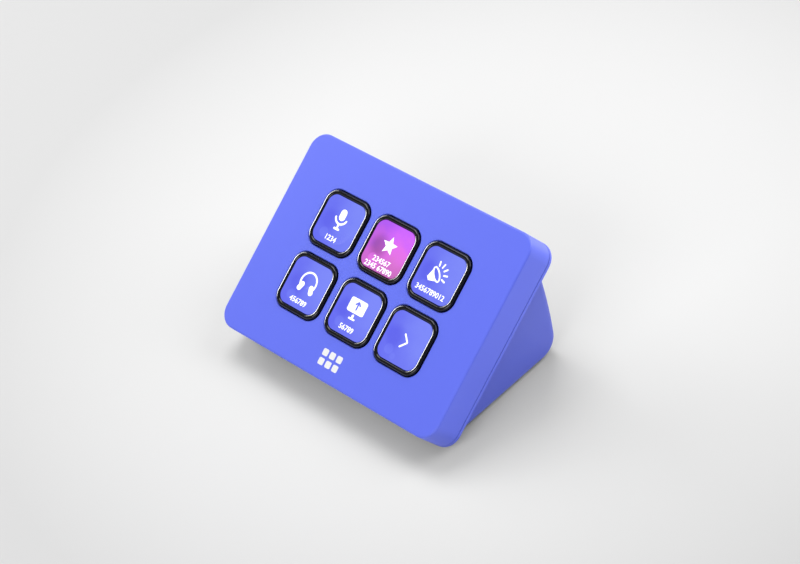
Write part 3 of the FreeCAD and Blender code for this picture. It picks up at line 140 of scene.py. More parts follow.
class KeypadShapes(bpy.types.PropertyGroup):
    """Sizes of the pieces that are modelled here."""

    key_outside: FloatProperty(
        name="Key outside", description="Outside of a key's black rim", default=16.6 * MM, subtype="DISTANCE"
    )
    key_corner: FloatProperty(
        name="Key corner", description="Corner radius of a key's rim", default=3.8 * MM, subtype="DISTANCE"
    )
    rim_width: FloatProperty(
        name="Rim width", description="Width of a key's black rim", default=1.3 * MM, subtype="DISTANCE"
    )
    rim_round: FloatProperty(
        name="Rim rounding", description="Outer rounding of the rim", default=0.6 * MM, subtype="DISTANCE"
    )
    rim_bevel: FloatProperty(
        name="Rim slope", description="Inner slope of the rim", default=0.42 * MM, subtype="DISTANCE"
    )
    rim_ease: FloatProperty(
        name="Rim ease", description="Rounding between the crest and its slope", default=0.6 * MM,
        subtype="DISTANCE"
    )
    bore_corner: FloatProperty(
        name="Bore corner", description="Corner radius inside the rim", default=2.8 * MM, subtype="DISTANCE"
    )
    flange_corner: FloatProperty(
        name="Flange corner", description="Corner radius of the key's flange", default=4.2 * MM,
        subtype="DISTANCE"
    )
    flange_thick: FloatProperty(
        name="Flange", description="Thickness of the key's flange", default=0.8 * MM, subtype="DISTANCE"
    )
    skirt_wall: FloatProperty(
        name="Skirt wall", description="Wall of a key's silicone skirt", default=0.6 * MM, subtype="DISTANCE"
    )
    skirt_lean: FloatProperty(
        name="Skirt lean", description="How far a skirt draws in towards its top", default=0.3 * MM,
        subtype="DISTANCE"
    )
    dish_radius: FloatProperty(
        name="Dish radius", description="Radius of the dished key tops", default=110 * MM, subtype="DISTANCE"
    )
    dish_depth: FloatProperty(
        name="Dish depth", description="Depth of the dish in its middle", default=0.18 * MM,
        subtype="DISTANCE"
    )
    print_lift: FloatProperty(
        name="Print lift", description="Height of a print above its surface", default=0.02 * MM,
        subtype="DISTANCE"
    )
    print_thick: FloatProperty(
        name="Print thickness", description="Thickness of a print", default=0.02 * MM, subtype="DISTANCE"
    )
    number_height: FloatProperty(
        name="Number height", description="Height of the numbers on the keys", default=1.6 * MM,
        subtype="DISTANCE"
    )


class KeypadColours(bpy.types.PropertyGroup):
    """Colours of the finishes."""

    case: FloatVectorProperty(
        name="Case", description="Blue-violet case plastic", default=(0.103, 0.151, 0.905), subtype="COLOR"
    )
    rim: FloatVectorProperty(
        name="Rims", description="Glossy black key rims", default=(0.002, 0.002, 0.003), subtype="COLOR"
    )
    picture_deep: FloatVectorProperty(
        name="Picture, deep", description="Deeper parts of the blue key pictures",
        default=srgb(92, 98, 246), subtype="COLOR"
    )
    picture_pale: FloatVectorProperty(
        name="Picture, pale", description="Paler parts of the blue key pictures",
        default=srgb(120, 133, 251), subtype="COLOR"
    )
    print_white: FloatVectorProperty(
        name="Print", description="White of the pictograms and numbers", default=(0.92, 0.93, 1.0),
        subtype="COLOR"
    )
    floor: FloatVectorProperty(
        name="Floor", description="Pale studio floor", default=(0.91, 0.91, 0.91), subtype="COLOR"
    )


class KeypadStudio(bpy.types.PropertyGroup):
    """The camera and the lights."""

    azimuth: FloatProperty(
        name="Azimuth", description="Side that the camera looks from, from the front towards the right",
        default=math.radians(54.388), subtype="ANGLE"
    )
    elevation: FloatProperty(
        name="Elevation", description="Height of the camera above the table", default=math.radians(41.554),
        subtype="ANGLE"
    )
    roll: FloatProperty(
        name="Roll", description="Turn of the camera about its view", default=math.radians(-14.480),
        subtype="ANGLE"
    )
    distance: FloatProperty(
        name="Distance", description="From the camera to its aim", default=0.7301, subtype="DISTANCE"
    )
    aim: FloatVectorProperty(
        name="Aim", description="Point in the middle of the picture", default=(0.00539, 0.00195, 0.02532),
        subtype="XYZ"
    )
    # reach of the pool of light that is painted into the floor's colour
    pool_reach: FloatProperty(
        name="Pool", description="How far the brighter middle of the floor reaches", default=0.16,
        subtype="DISTANCE"
    )
    lens: FloatProperty(name="Lens", description="Focal length in millimetres", default=121.494)
    sky: FloatProperty(name="Sky", description="Strength of the even light all round", default=0.25)
    left_power: FloatProperty(
        name="Left light", description="Soft light above on the left", default=1.15, subtype="POWER"
    )
    right_power: FloatProperty(
        name="Right light", description="Soft light behind on the right", default=0.85, subtype="POWER"
    )
    front_power: FloatProperty(
        name="Front light", description="Soft light in front", default=1.2, subtype="POWER"
    )
    side_power: FloatProperty(
        name="Side light", description="Wide soft light on the left", default=1.3, subtype="POWER"
    )
    back_power: FloatProperty(
        name="Back light", description="Low light behind, for the sheen on the right side of the slab",
        default=1.55, subtype="POWER"
    )
    edge_power: FloatProperty(
        name="Edge light", description="Low light far on the left, for the bright lines on the rims",
        default=19.0, subtype="POWER"
    )
    corner_power: FloatProperty(
        name="Corner light", description="Low light behind on the left, for the bright corners of the rims",
        default=9.0, subtype="POWER"
    )


# materials


def blend_node(tree, factor):
    """A node that blends two colours by a factor: the sockets of its two colours and of its result."""
    mix = tree.nodes.new("ShaderNodeMix")
    mix.data_type = "RGBA"
    tree.links.new(factor, mix.inputs["Factor"])
    first, second = [socket for socket in mix.inputs if socket.type == "RGBA"]
    result = [socket for socket in mix.outputs if socket.type == "RGBA"][0]
    return first, second, result


def colour_mix(tree, factor, low, high):
    """The result of a blend of two given colours by a factor."""
    first, second, result = blend_node(tree, factor)
    first.default_value = (*low, 1)
    second.default_value = (*high, 1)
    return result


def spread(tree, value, low, high):
    """A node that stretches a value from 0 to 1 over the range from low to high."""
    stretch = tree.nodes.new("ShaderNodeMapRange")
    tree.links.new(value, stretch.inputs["Value"])
    stretch.inputs["To Min"].default_value = low
    stretch.inputs["To Max"].default_value = high
    return stretch.outputs["Result"]


def arithmetic(tree, operation, *values):
    """A Math node, whose inputs are sockets or numbers."""
    node = tree.nodes.new("ShaderNodeMath")
    node.operation = operation
    for socket, value in zip(node.inputs, values):
        if isinstance(value, (int, float)):
            socket.default_value = value
        else:
            tree.links.new(value, socket)
    return node.outputs["Value"]


def make_grain_group():
    """A fine moulded grain: a slow Shade from 0 to 1 and a fine Height, from noise on the given places."""
    group = bpy.data.node_groups.new("moulded_grain", "ShaderNodeTree")
    interface = group.interface
    interface.new_socket("Vector", in_out="INPUT", socket_type="NodeSocketVector")
    interface.new_socket("Fineness", in_out="INPUT", socket_type="NodeSocketFloat")
    interface.new_socket("Cloud Fineness", in_out="INPUT", socket_type="NodeSocketFloat")
    interface.new_socket("Shade", in_out="OUTPUT", socket_type="NodeSocketFloat")
    interface.new_socket("Height", in_out="OUTPUT", socket_type="NodeSocketFloat")
    given = group.nodes.new("NodeGroupInput")
    result = group.nodes.new("NodeGroupOutput")
    fine = group.nodes.new("ShaderNodeTexNoise")
    fine.inputs["Detail"].default_value = 3
    fine.inputs["Roughness"].default_value = 0.6
    cloud = group.nodes.new("ShaderNodeTexNoise")
    cloud.inputs["Detail"].default_value = 4
    group.links.new(given.outputs["Vector"], fine.inputs["Vector"])
    group.links.new(given.outputs["Vector"], cloud.inputs["Vector"])
    group.links.new(given.outputs["Fineness"], fine.inputs["Scale"])
    group.links.new(given.outputs["Cloud Fineness"], cloud.inputs["Scale"])
    group.links.new(cloud.outputs["Fac"], result.inputs["Shade"])
    group.links.new(fine.outputs["Fac"], result.inputs["Height"])
    return group


def grain_node(tree, vector, fineness, cloud):
    """The grain group placed in a material, with its own values."""
    group = bpy.data.node_groups.get("moulded_grain") or make_grain_group()
    node = tree.nodes.new("ShaderNodeGroup")
    node.node_tree = group
    tree.links.new(vector, node.inputs["Vector"])
    node.inputs["Fineness"].default_value = fineness
    node.inputs["Cloud Fineness"].default_value = cloud
    return node


def new_material(name):
    """An empty node material, with its tree, its shader and its Object coordinates."""
    material = bpy.data.materials.new(name)
    material.use_nodes = True
    tree = material.node_tree
    places = tree.nodes.new("ShaderNodeTexCoord").outputs["Object"]
    return material, tree, tree.nodes["Principled BSDF"], places


def set_sockets(shader, sockets):
    """Puts numbers and colours on the shader's own sockets."""
    for name, value in sockets.items():
        shader.inputs[name].default_value = value


def grained_finish(name, colour, contrast, rough, fineness, bump, cloud=90, stretch=None, **sockets):
    """A finish whose colour drifts slowly and whose roughness and surface have a fine grain. Contrast is the
    share by which the colour drifts, rough the range of the roughness, fineness and cloud the scales of the
    grain and of the drift, and bump the depth of the grain in millimetres. Stretch multiplies these scales
    along x, y and z, which draws the grain out where it is small, as brushing does."""
    material, tree, shader, places = new_material(name)
    if stretch:
        mapping = tree.nodes.new("ShaderNodeMapping")
        mapping.inputs["Scale"].default_value = stretch
        tree.links.new(places, mapping.inputs["Vector"])
        places = mapping.outputs["Vector"]
    grain = grain_node(tree, places, fineness, cloud)
    low = [value * (1 - contrast) for value in colour]
    high = [min(1, value * (1 + contrast)) for value in colour]
    tree.links.new(colour_mix(tree, grain.outputs["Shade"], low, high), shader.inputs["Base Color"])
    tree.links.new(spread(tree, grain.outputs["Height"], *rough), shader.inputs["Roughness"])
    relief = tree.nodes.new("ShaderNodeBump")
    relief.inputs["Strength"].default_value = 1
    relief.inputs["Distance"].default_value = bump * MM
    tree.links.new(grain.outputs["Height"], relief.inputs["Height"])
    tree.links.new(relief.outputs["Normal"], shader.inputs["Normal"])
    set_sockets(shader, sockets)
    return material


def keep_bounce_grey(material, level):
    """Makes the light that a finish throws on its surroundings grey, so that shadows beside it stay
    neutral."""
    tree = material.node_tree
    base = tree.nodes["Principled BSDF"].inputs["Base Color"]
    drawn = base.links[0].from_socket
    bounce = tree.nodes.new("ShaderNodeLightPath").outputs["Is Diffuse Ray"]
    seen, grey, result = blend_node(tree, bounce)
    tree.links.new(drawn, seen)
    grey.default_value = (level, level, level, 1)
    tree.links.new(result, base)


def dress(node, material):
    """Gives a CAD node a finish."""
    data = frame["nodes"][node].data
    if not data.materials:
        data.materials.append(material)
    for slot in frame["nodes"][node].material_slots:
        slot.material = material


def finish_nodes(nodes, name, colour, **grain):
    """Makes a grained finish and gives it to some CAD nodes."""
    material = grained_finish(name, colour, **grain)
    for node in nodes:
        dress(node, material)
    return material


# meshes


def grid_faces(rows, columns, wrap_rows=False, wrap_columns=False):
    """The quads of a grid of points, row by row, joined round where it wraps."""
    row = np.arange(rows if wrap_rows else rows - 1)[:, None]
    column = np.arange(columns if wrap_columns else columns - 1)[None, :]
    next_row = (row + 1) % rows
    next_column = (column + 1) % columns
    corners = [
        row * columns + column,
        row * columns + next_column,
        next_row * columns + next_column,
        next_row * columns + column,
    ]
    return np.stack(corners, -1).reshape(-1, 4)


def add_piece(name, points, faces, material, body, smooth=True):
    """A mesh object of points in metres, riding on a body."""
    mesh = bpy.data.meshes.new(name)
    mesh.from_pydata(np.asarray(points).tolist(), [], [list(map(int, face)) for face in faces])
    mesh.validate()
    piece = bpy.data.objects.new(name, mesh)
    bpy.context.scene.collection.objects.link(piece)
    mesh.materials.append(material)
    if smooth:
        mesh.shade_smooth()
        mesh.set_sharp_from_angle(angle=SHARP_ANGLE)
    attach(piece, body)
    return piece


def rounded_square(half, radius, steps):
    """Points of rounded squares, one row for each pair of a half side and a corner radius: each corner is a
    quarter circle about the point that lies the radius inside both sides."""
    quarter = np.repeat(np.arange(4), steps)
    angle = (quarter + np.tile(np.linspace(0, 1, steps), 4)) * math.pi / 2
    across = np.array([1, -1, -1, 1])[quarter]
    along = np.array([1, 1, -1, -1])[quarter]
    half, radius = half[:, None], radius[:, None]
    return across * (half - radius) + radius * np.cos(angle), along * (half - radius) + radius * np.sin(angle)


def arc(middle, radius, begin, finish, count):
    """Points on a circle between two angles in degrees."""
    angle = np.radians(np.linspace(begin, finish, count))
    return np.stack([middle[0] + radius * np.cos(angle), middle[1] + radius * np.sin(angle)], 1)


def rim_profile(shapes):
    """The section of a key's frame as rows of half side, corner radius and height: up the flange, in to the
    wall, up and over a round shoulder, across a flat crest, round into a slope of 45 degrees and down the
    bore. An arc between two lines that meet at an angle begins its radius times the tangent of half the turn
    away from their corner."""
    half = shapes.key_outside / MM / 2
    corner = shapes.key_corner / MM
    bore = half - shapes.rim_width / MM
    bore_corner = shapes.bore_corner / MM
    shoulder = shapes.rim_round / MM
    slope = shapes.rim_bevel / MM
    ease = shapes.rim_ease / MM
    flange_corner = shapes.flange_corner / MM
    flange_top = KEY_FOOT + shapes.flange_thick / MM
    over = arc((half - shoulder, KEY_TOP - shoulder), shoulder, 0, 90, SHOULDER_POINTS)
    crest_end = bore + slope + ease * math.tan(math.pi / 8)
    down = arc((crest_end, KEY_TOP - ease), ease, 90, 135, EASE_POINTS)
    return np.concatenate([
        [(FLANGE_HALF, flange_corner, KEY_FOOT), (FLANGE_HALF, flange_corner, flange_top)],
        [(half, corner, flange_top), (half, corner, 0)],
        np.column_stack([over[:, 0], corner - (half - over[:, 0]), over[:, 1]]),
        np.column_stack([down[:, 0], bore_corner + down[:, 0] - bore, down[:, 1]]),
        [(bore, bore_corner, KEY_TOP - slope), (bore, bore_corner, KEY_FOOT)],
    ])


def make_rim(key, shapes, material):
    """A key's black frame: its section carried round a rounded square."""
    half, radius, height = rim_profile(shapes).T
    x, y = rounded_square(half, radius, RIM_CORNER_POINTS)
    middle = key_middle(key)
    z = np.broadcast_to(height[:, None], x.shape)
    places = np.stack([x + middle[0], y + middle[1], z], -1).reshape(-1, 3)
    faces = grid_faces(*x.shape, wrap_rows=True, wrap_columns=True)[:, ::-1]
    piece = add_piece(f"key_{key}_rim", on_slab(places), faces, material, f"key_{key}")
    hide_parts(f"key_{key}_frame")
    return piece


def make_skirt(key, shapes, material):
    """A key's silicone skirt: a leaning wall carried round a rounded square. It is squashed flat enough to
    stay as far below the key's flange as it lies at rest."""
    low, high = slab_box(f"key_{key}_spring")
    wall = shapes.skirt_wall / MM
    foot = float(high[0] - low[0]) / 2
    top = foot - shapes.skirt_lean / MM
    corner = shapes.flange_corner / MM
    half = np.array([foot, top, top - wall, foot - wall])
    radius = np.array([corner, corner, corner - wall, corner - wall])
    x, y = rounded_square(half, radius, SKIRT_CORNER_POINTS)
    middle = key_middle(key)
    z = np.broadcast_to(np.array([low[2], high[2], high[2], low[2]])[:, None], x.shape)
    places = np.stack([x + middle[0], y + middle[1], z], -1).reshape(-1, 3)
    faces = grid_faces(*x.shape, wrap_rows=True, wrap_columns=True)[:, ::-1]
    piece = add_piece(f"key_{key}_skirt", on_slab(places), faces, material, "housing")
    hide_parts(f"key_{key}_spring")
    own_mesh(piece)
    return piece


# least half width of a stroke's ends, in millimetres
STROKE_END = 0.004
# size of a filled shape's innermost ring, as a share of its outline
INNER_RING = 0.08


def stroke(path, width, count=40):
    """A band along a path of (x, y) points whose half width narrows at both ends as a half circle does."""
    path = np.asarray(path, float)
    steps = np.concatenate([[0], np.cumsum(np.linalg.norm(np.diff(path, axis=0), axis=1))])
    length = steps[-1]
    at = length * (1 - np.cos(np.linspace(0, math.pi, count))) / 2
    line = np.stack([np.interp(at, steps, path[:, 0]), np.interp(at, steps, path[:, 1])], 1)
    along = np.gradient(line, axis=0)
    along /= np.linalg.norm(along, axis=1)[:, None]
    normal = np.stack([-along[:, 1], along[:, 0]], 1)
    reach = np.clip(np.minimum(at, length - at) / (width / 2), 0, 1)
    half = np.maximum(width / 2 * np.sqrt(1 - (1 - reach) ** 2), STROKE_END)[:, None]
    points = np.stack([line - normal * half, line, line + normal * half], 1).reshape(-1, 2)
    return points, grid_faces(count, 3)[:, ::-1]


def patch(outline, middle, rings=5):
    """A filled shape: its outline drawn in towards a middle in even rings, the last a small ring closed by
    one face."""
    outline = np.asarray(outline, float)
    share = np.linspace(1, INNER_RING, rings)[:, None, None]
    points = (middle + share * (outline - middle)).reshape(-1, 2)
    faces = list(grid_faces(rings, len(outline), wrap_columns=True))
    last = (rings - 1) * len(outline) + np.arange(len(outline))
    return points, [face[::-1] for face in faces] + [last]


def joined(flat_shapes):
    """Several flat shapes as one list of points and faces."""
    points, faces, first = [], [], 0
    for shape_points, shape_faces in flat_shapes:
        points.append(shape_points)
        faces += [np.asarray(face) + first for face in shape_faces]
        first += len(shape_points)
    return np.concatenate(points), faces


def turned(shape, degrees, middle):
    """A flat shape turned about a middle."""
    points, faces = shape
    angle = math.radians(degrees)
    turn = np.array([[math.cos(angle), math.sin(angle)], [-math.sin(angle), math.cos(angle)]])
    return (points - middle) @ turn + middle, faces


def key_surface(points, shapes):
    """The height of a key's dished top above the face at points measured from the key's middle."""
    radius, depth = shapes.dish_radius / MM, shapes.dish_depth / MM
    away = np.sum(points**2, axis=1)
    sag = depth - (radius - np.sqrt(radius**2 - away))
    return WINDOW_TOP - np.maximum(sag, 0)


def print_piece(name, shape, middle, height, shapes, material, body):
    """A thin print: a flat shape laid at heights above the face, moved to a middle and given a thickness."""
    points, faces = shape
    lifted = np.asarray(height) + shapes.print_lift / MM
    places = np.column_stack([points + middle, np.broadcast_to(lifted, len(points))])
    piece = add_piece(name, on_slab(places), faces, material, body, smooth=False)
    solid = piece.modifiers.new("thickness", "SOLIDIFY")
    solid.thickness = shapes.print_thick
    solid.offset = 1
    return piece


# pictograms, in millimetres from the middle of a key


def microphone():
    """A capsule in a yoke on a stem with a foot."""
    return joined([
        stroke([(0.1, 0.75), (0.1, 4.1)], 2.2),
        stroke(arc((0.1, 1.9), 2.15, 190, 350, 30), 0.58),
        stroke([(0.1, -0.1), (0.1, -1.5)], 0.6),
        stroke([(-1.0, -1.75), (1.2, -1.75)], 0.65),
    ])


def star():
    """A five-pointed star: its outline swings between two radii."""
    middle = np.array([0, 0.9])
    corner = np.arange(10)
    angle = math.pi / 2 + corner * math.pi / 5
    radius = np.where(corner % 2 == 0, 2.7, 1.25)
    outline = middle + np.stack([radius * np.cos(angle), radius * np.sin(angle)], 1)
    return patch(outline, middle)


def megaphone():
    """A cone, open at its oval mouth, with five rays in front of it, all turned up to the right."""
    mouth = np.array([-0.8, 0.1])
    around = np.linspace(math.pi / 2, 5 * math.pi / 2, 49)
    oval = mouth + np.stack([0.9 * np.cos(around), 2.2 * np.sin(around)], 1)
    left_half = oval[len(oval) // 2::-1]
    cone = patch([(-3.7, 0.7), (-3.7, -0.5), *left_half], np.array([-2.5, 0.1]))
    flat_shapes = [cone, stroke(oval, 0.45, 70)]
    for angle in np.radians([-58, -29, 0, 29, 58]):
        outwards = np.array([math.cos(angle), math.sin(angle)])
        flat_shapes.append(stroke([mouth + 2.2 * outwards, mouth + 3.8 * outwards], 0.48))
    return turned(joined(flat_shapes), 42, mouth)


def headphones():
    """A head band over two slanting ear cups."""
    flat_shapes = [stroke(arc((0.3, 0.95), 2.85, -30, 210, 40), 0.55)]
    for side in (-1, 1):
        across = 0.3 + side * 2.0
        cup = stroke([(across, -2.2), (across, 0.7)], 1.6)
        flat_shapes.append(turned(cup, side * 20, (across, -0.7)))
    return joined(flat_shapes)


def monitor():
    """A screen, which is a rounded square pressed flatter, on a stem and a foot."""
    level, flatter = 1.7, 0.66
    x, y = rounded_square(np.array([3.1]), np.array([0.8]), 8)
    screen = patch(np.stack([x[0], y[0] * flatter + level], 1), np.array([0, level]))
    return joined([screen, stroke([(0, -0.7), (0, -1.7)], 0.8), stroke([(-1.2, -2.0), (1.2, -2.0)], 0.55)])


def arrow():
    """A plain arrow that points up."""
    return joined([
        stroke([(0, 0.5), (0, 2.9)], 0.5),
        stroke([(-0.95, 1.95), (0, 2.9), (0.95, 1.95)], 0.5),
    ])


def chevron():
    """A plain angle that points right."""
    return stroke([(-0.8, 1.7), (1.15, -0.3), (-0.8, -2.3)], 0.5, 60)


PICTOGRAMS = {1: microphone, 2: star, 3: megaphone, 4: headphones, 5: monitor, 6: chevron}
# numbers below the pictograms: the digits and the level of their middle on the key, in millimetres
NUMBERS = {
    1: (("1234", -4.75),),
    2: (("234567", -3.75), ("2345 67890", -5.75)),
    3: (("3456789012", -4.85),),
    4: (("456789", -4.85),),
    5: (("56789", -4.9),),
}
# how far the outlines of the digits are moved outwards, before the digits are brought to their height
DIGIT_WEIGHT = 0.018


def number_shape(text, height):
    """Digits as a flat shape of a given height about their middle."""
    curve = bpy.data.curves.new("digits", "FONT")
    curve.body = text
    curve.offset = DIGIT_WEIGHT
    curve.resolution_u = 3
    holder = bpy.data.objects.new("digits", curve)
    bpy.context.scene.collection.objects.link(holder)
    graph = bpy.context.evaluated_depsgraph_get()
    mesh = bpy.data.meshes.new_from_object(holder.evaluated_get(graph))
    points = mesh_points(mesh)[:, :2]
    faces = [list(polygon.vertices) for polygon in mesh.polygons]
    bpy.data.objects.remove(holder)
    bpy.data.meshes.remove(mesh)
    bpy.data.curves.remove(curve)
    low, high = points.min(0), points.max(0)
    return (points - (low + high) / 2) * height / (high[1] - low[1]), faces


# pieces


class KEYPAD_OT_finish_case(bpy.types.Operator):
    """Gives the front shell, the rear cover and the stand their blue-violet moulded plastic"""

    bl_idname = "keypad.finish_case"
    bl_label = "Finish the case"

    def execute(self, context):
        plastic = finish_nodes(
            ["front_shell", "rear_cover", "stand"], "case_plastic", context.scene.keypad_colours.case,
            contrast=0.02, rough=(0.36, 0.48), fineness=3200, bump=0.005, **{"Specular IOR Level": 0.85},
        )
        keep_bounce_grey(plastic, level=0.2)
        return {"FINISHED"}


class KEYPAD_OT_finish_inside(bpy.types.Operator):
    """Gives every inner piece, the foot pad and the socket its finish"""

    bl_idname = "keypad.finish_inside"
    bl_label = "Finish the inner pieces"

    def execute(self, context):
        finish_nodes(
            ["spring_mat"] + [f"key_{key}_spring" for key in KEYS], "silicone", (0.55, 0.56, 0.58),
            contrast=0.05, rough=(0.45, 0.6), fineness=900, bump=0.01,
        )
        finish_nodes(
            ["switch_board", "main_board"], "circuit_board", (0.015, 0.11, 0.05),
            contrast=0.25, rough=(0.25, 0.4), fineness=700, bump=0.01,
        )
        finish_nodes(
            ["display_glass"], "display_glass", (0.02, 0.022, 0.03),
            contrast=0.1, rough=(0.04, 0.08), fineness=300, bump=0.0005,
        )
        finish_nodes(
            ["display_backlight"], "light_guide", (0.85, 0.86, 0.88),
            contrast=0.03, rough=(0.4, 0.5), fineness=1500, bump=0.004,
        )
        finish_nodes(
            ["display_can"], "sheet_metal", (0.62, 0.63, 0.65),
            contrast=0.06, rough=(0.25, 0.4), fineness=1200, bump=0.003, stretch=(1, 12, 12), Metallic=1,
        )
        finish_nodes(
            ["display_tray"], "inner_plastic", (0.03, 0.03, 0.035),
            contrast=0.15, rough=(0.4, 0.55), fineness=1800, bump=0.006,
        )
        finish_nodes(
            ["board_chips", "socket_tongue"], "chip_plastic", (0.018, 0.018, 0.02),
            contrast=0.2, rough=(0.45, 0.6), fineness=2500, bump=0.004,
        )
        finish_nodes(
            ["cable_connectors"], "connector_plastic", (0.70, 0.66, 0.54),
            contrast=0.05, rough=(0.35, 0.5), fineness=1500, bump=0.004,
        )
        finish_nodes(
            ["display_ribbon", "keys_ribbon"], "flat_cable", (0.55, 0.27, 0.05),
            contrast=0.12, rough=(0.2, 0.35), fineness=900, bump=0.003, stretch=(1, 6, 6),
        )
        finish_nodes(
            ["cable_socket"], "socket_metal", (0.66, 0.66, 0.68),
            contrast=0.06, rough=(0.16, 0.30), fineness=1500, bump=0.002, stretch=(1, 14, 1), Metallic=1,
        )
        finish_nodes(
            ["case_screws", "stand_screws", "tray_screws", "board_screws"], "screw_steel", (0.52, 0.52, 0.54),
            contrast=0.1, rough=(0.2, 0.4), fineness=2200, bump=0.003, Metallic=1,
        )
        finish_nodes(
            ["foot_pad"], "foot_rubber", (0.022, 0.022, 0.024),
            contrast=0.25, rough=(0.7, 0.9), fineness=1400, bump=0.03,
        )
        return {"FINISHED"}


class KEYPAD_OT_key_skirts(bpy.types.Operator):
    """Models the six silicone skirts"""

    bl_idname = "keypad.key_skirts"
    bl_label = "Key skirts"

    def execute(self, context):
        for key in KEYS:
            make_skirt(key, context.scene.keypad_shapes, bpy.data.materials["silicone"])
        return {"FINISHED"}


class KEYPAD_OT_key_rims(bpy.types.Operator):
    """Models the six glossy black key frames"""

    bl_idname = "keypad.key_rims"
    bl_label = "Key rims"

    def execute(self, context):
        black = grained_finish(
            "key_frame", context.scene.keypad_colours.rim,
            contrast=0.3, rough=(0.04, 0.08), fineness=500, bump=0.0001, IOR=1.5,
        )
        for key in KEYS:
            dress(f"key_{key}_frame", black)
            make_rim(key, context.scene.keypad_shapes, black)
        return {"FINISHED"}


# how far inside the key's flange a picture ends and how deep it is lit, in millimetres
PICTURE_INSET = 2
LIT_DEPTH = 0.3
# scale of the noise that stirs the colours of a picture, and how far it moves them
NOISE_SCALE = 210
NOISE_SHARE = 0.5
# strength of the light from a picture and from a print, and what is left of a print's where it is dimmest
PICTURE_GLOW = 0.98
PRINT_GLOW = 0.55
PRINT_DIM = 0.92
# soft spots of the key pictures: middle, radius, softness, all in millimetres, and strength
PICTURE_SPOTS = (
    ((-3.2, -0.2), 2.8, 3.2, -0.17),
    ((-3.4, -4.0), 1.5, 0.4, 0.10),
    ((-1.2, -5.3), 1.0, 0.4, 0.07),
    ((4.6, 2.6), 6.5, 6.0, 0.10),
)


def spot_sum(tree, places):
    """The sum of the picture spots at the given places on a key, each fading smoothly at its edge."""
    total = 0.0
    for (spot_x, spot_y), radius, softness, strength in PICTURE_SPOTS:
        away = tree.nodes.new("ShaderNodeVectorMath")
        away.operation = "DISTANCE"
        tree.links.new(places, away.inputs[0])
        away.inputs[1].default_value = (spot_x * MM, spot_y * MM, 0)
        fade = tree.nodes.new("ShaderNodeMapRange")
        fade.interpolation_type = "SMOOTHSTEP"
        tree.links.new(away.outputs["Value"], fade.inputs["Value"])
        fade.inputs["From Min"].default_value = (radius - softness / 2) * MM
        fade.inputs["From Max"].default_value = (radius + softness / 2) * MM
        fade.inputs["To Min"].default_value = strength
        fade.inputs["To Max"].default_value = 0
        total = arithmetic(tree, "ADD", fade.outputs["Result"], total)
    return total


def picture_material(key, stops, slant, spot_shift, spot_dim):
    """A lit picture under a clear polished top. Its colour runs through the stops along a slant across the
    key, stirred by soft noise and by the spots, which shift the run and dim the light by the given factors,
    and it is lit only near the top of the key's clear block."""
    material, tree, shader, places = new_material(f"key_{key}_window")
    x, y = key_middle(key)
    to_slab = Matrix(SLAB_AXES.tolist())
    mapping = tree.nodes.new("ShaderNodeMapping")
    mapping.inputs["Rotation"].default_value = Euler((-TILT, 0, 0))
    mapping.inputs["Location"].default_value = -(to_slab @ Vector(on_slab([(x, y, 0)])[0]))
    tree.links.new(places, mapping.inputs["Vector"])
    split = tree.nodes.new("ShaderNodeSeparateXYZ")
    tree.links.new(mapping.outputs["Vector"], split.inputs["Vector"])
    size = 2 * (FLANGE_HALF - PICTURE_INSET) * MM
    across = arithmetic(tree, "MULTIPLY", split.outputs["X"], slant[0] / size)
    along = arithmetic(tree, "MULTIPLY", split.outputs["Y"], slant[1] / size)
    run = arithmetic(tree, "ADD", arithmetic(tree, "ADD", across, along), 0.5)
    noise = tree.nodes.new("ShaderNodeTexNoise")
    noise.inputs["Scale"].default_value = NOISE_SCALE
    noise.inputs["Detail"].default_value = 2
    tree.links.new(places, noise.inputs["Vector"])
    centred = arithmetic(tree, "SUBTRACT", noise.outputs["Fac"], 0.5)
    stir = arithmetic(tree, "MULTIPLY", centred, NOISE_SHARE)
    spots = spot_sum(tree, mapping.outputs["Vector"])
    shift = arithmetic(tree, "MULTIPLY", spots, spot_shift)
    run = arithmetic(tree, "ADD", arithmetic(tree, "ADD", run, stir), shift)
    ramp = tree.nodes.new("ShaderNodeValToRGB")
    tree.links.new(run, ramp.inputs["Fac"])
    for index, (place, colour) in enumerate(stops):
        if index >= len(ramp.color_ramp.elements):
            ramp.color_ramp.elements.new(place)
        element = ramp.color_ramp.elements[index]
        element.position = place
        element.color = (*colour, 1)
    lit = arithmetic(tree, "GREATER_THAN", split.outputs["Z"], -LIT_DEPTH * MM)
    dimmed = arithmetic(tree, "ADD", arithmetic(tree, "MULTIPLY", spots, spot_dim), 1)
    lit = arithmetic(tree, "MULTIPLY", lit, dimmed)
    glow = tree.nodes.new("ShaderNodeVectorMath")
    glow.operation = "SCALE"
    tree.links.new(ramp.outputs["Color"], glow.inputs["Vector"])
    tree.links.new(lit, glow.inputs["Scale"])
    tree.links.new(glow.outputs["Vector"], shader.inputs["Emission Color"])
    grain = grain_node(tree, places, fineness=400, cloud=120)
    dark = colour_mix(tree, grain.outputs["Shade"], low=(0.010, 0.010, 0.014), high=(0.02, 0.02, 0.026))
    tree.links.new(dark, shader.inputs["Base Color"])
    tree.links.new(spread(tree, grain.outputs["Height"], low=0.05, high=0.10), shader.inputs["Roughness"])
    set_sockets(shader, {"Emission Strength": PICTURE_GLOW, "Coat Weight": 1.0, "Coat Roughness": 0.03})
    return material


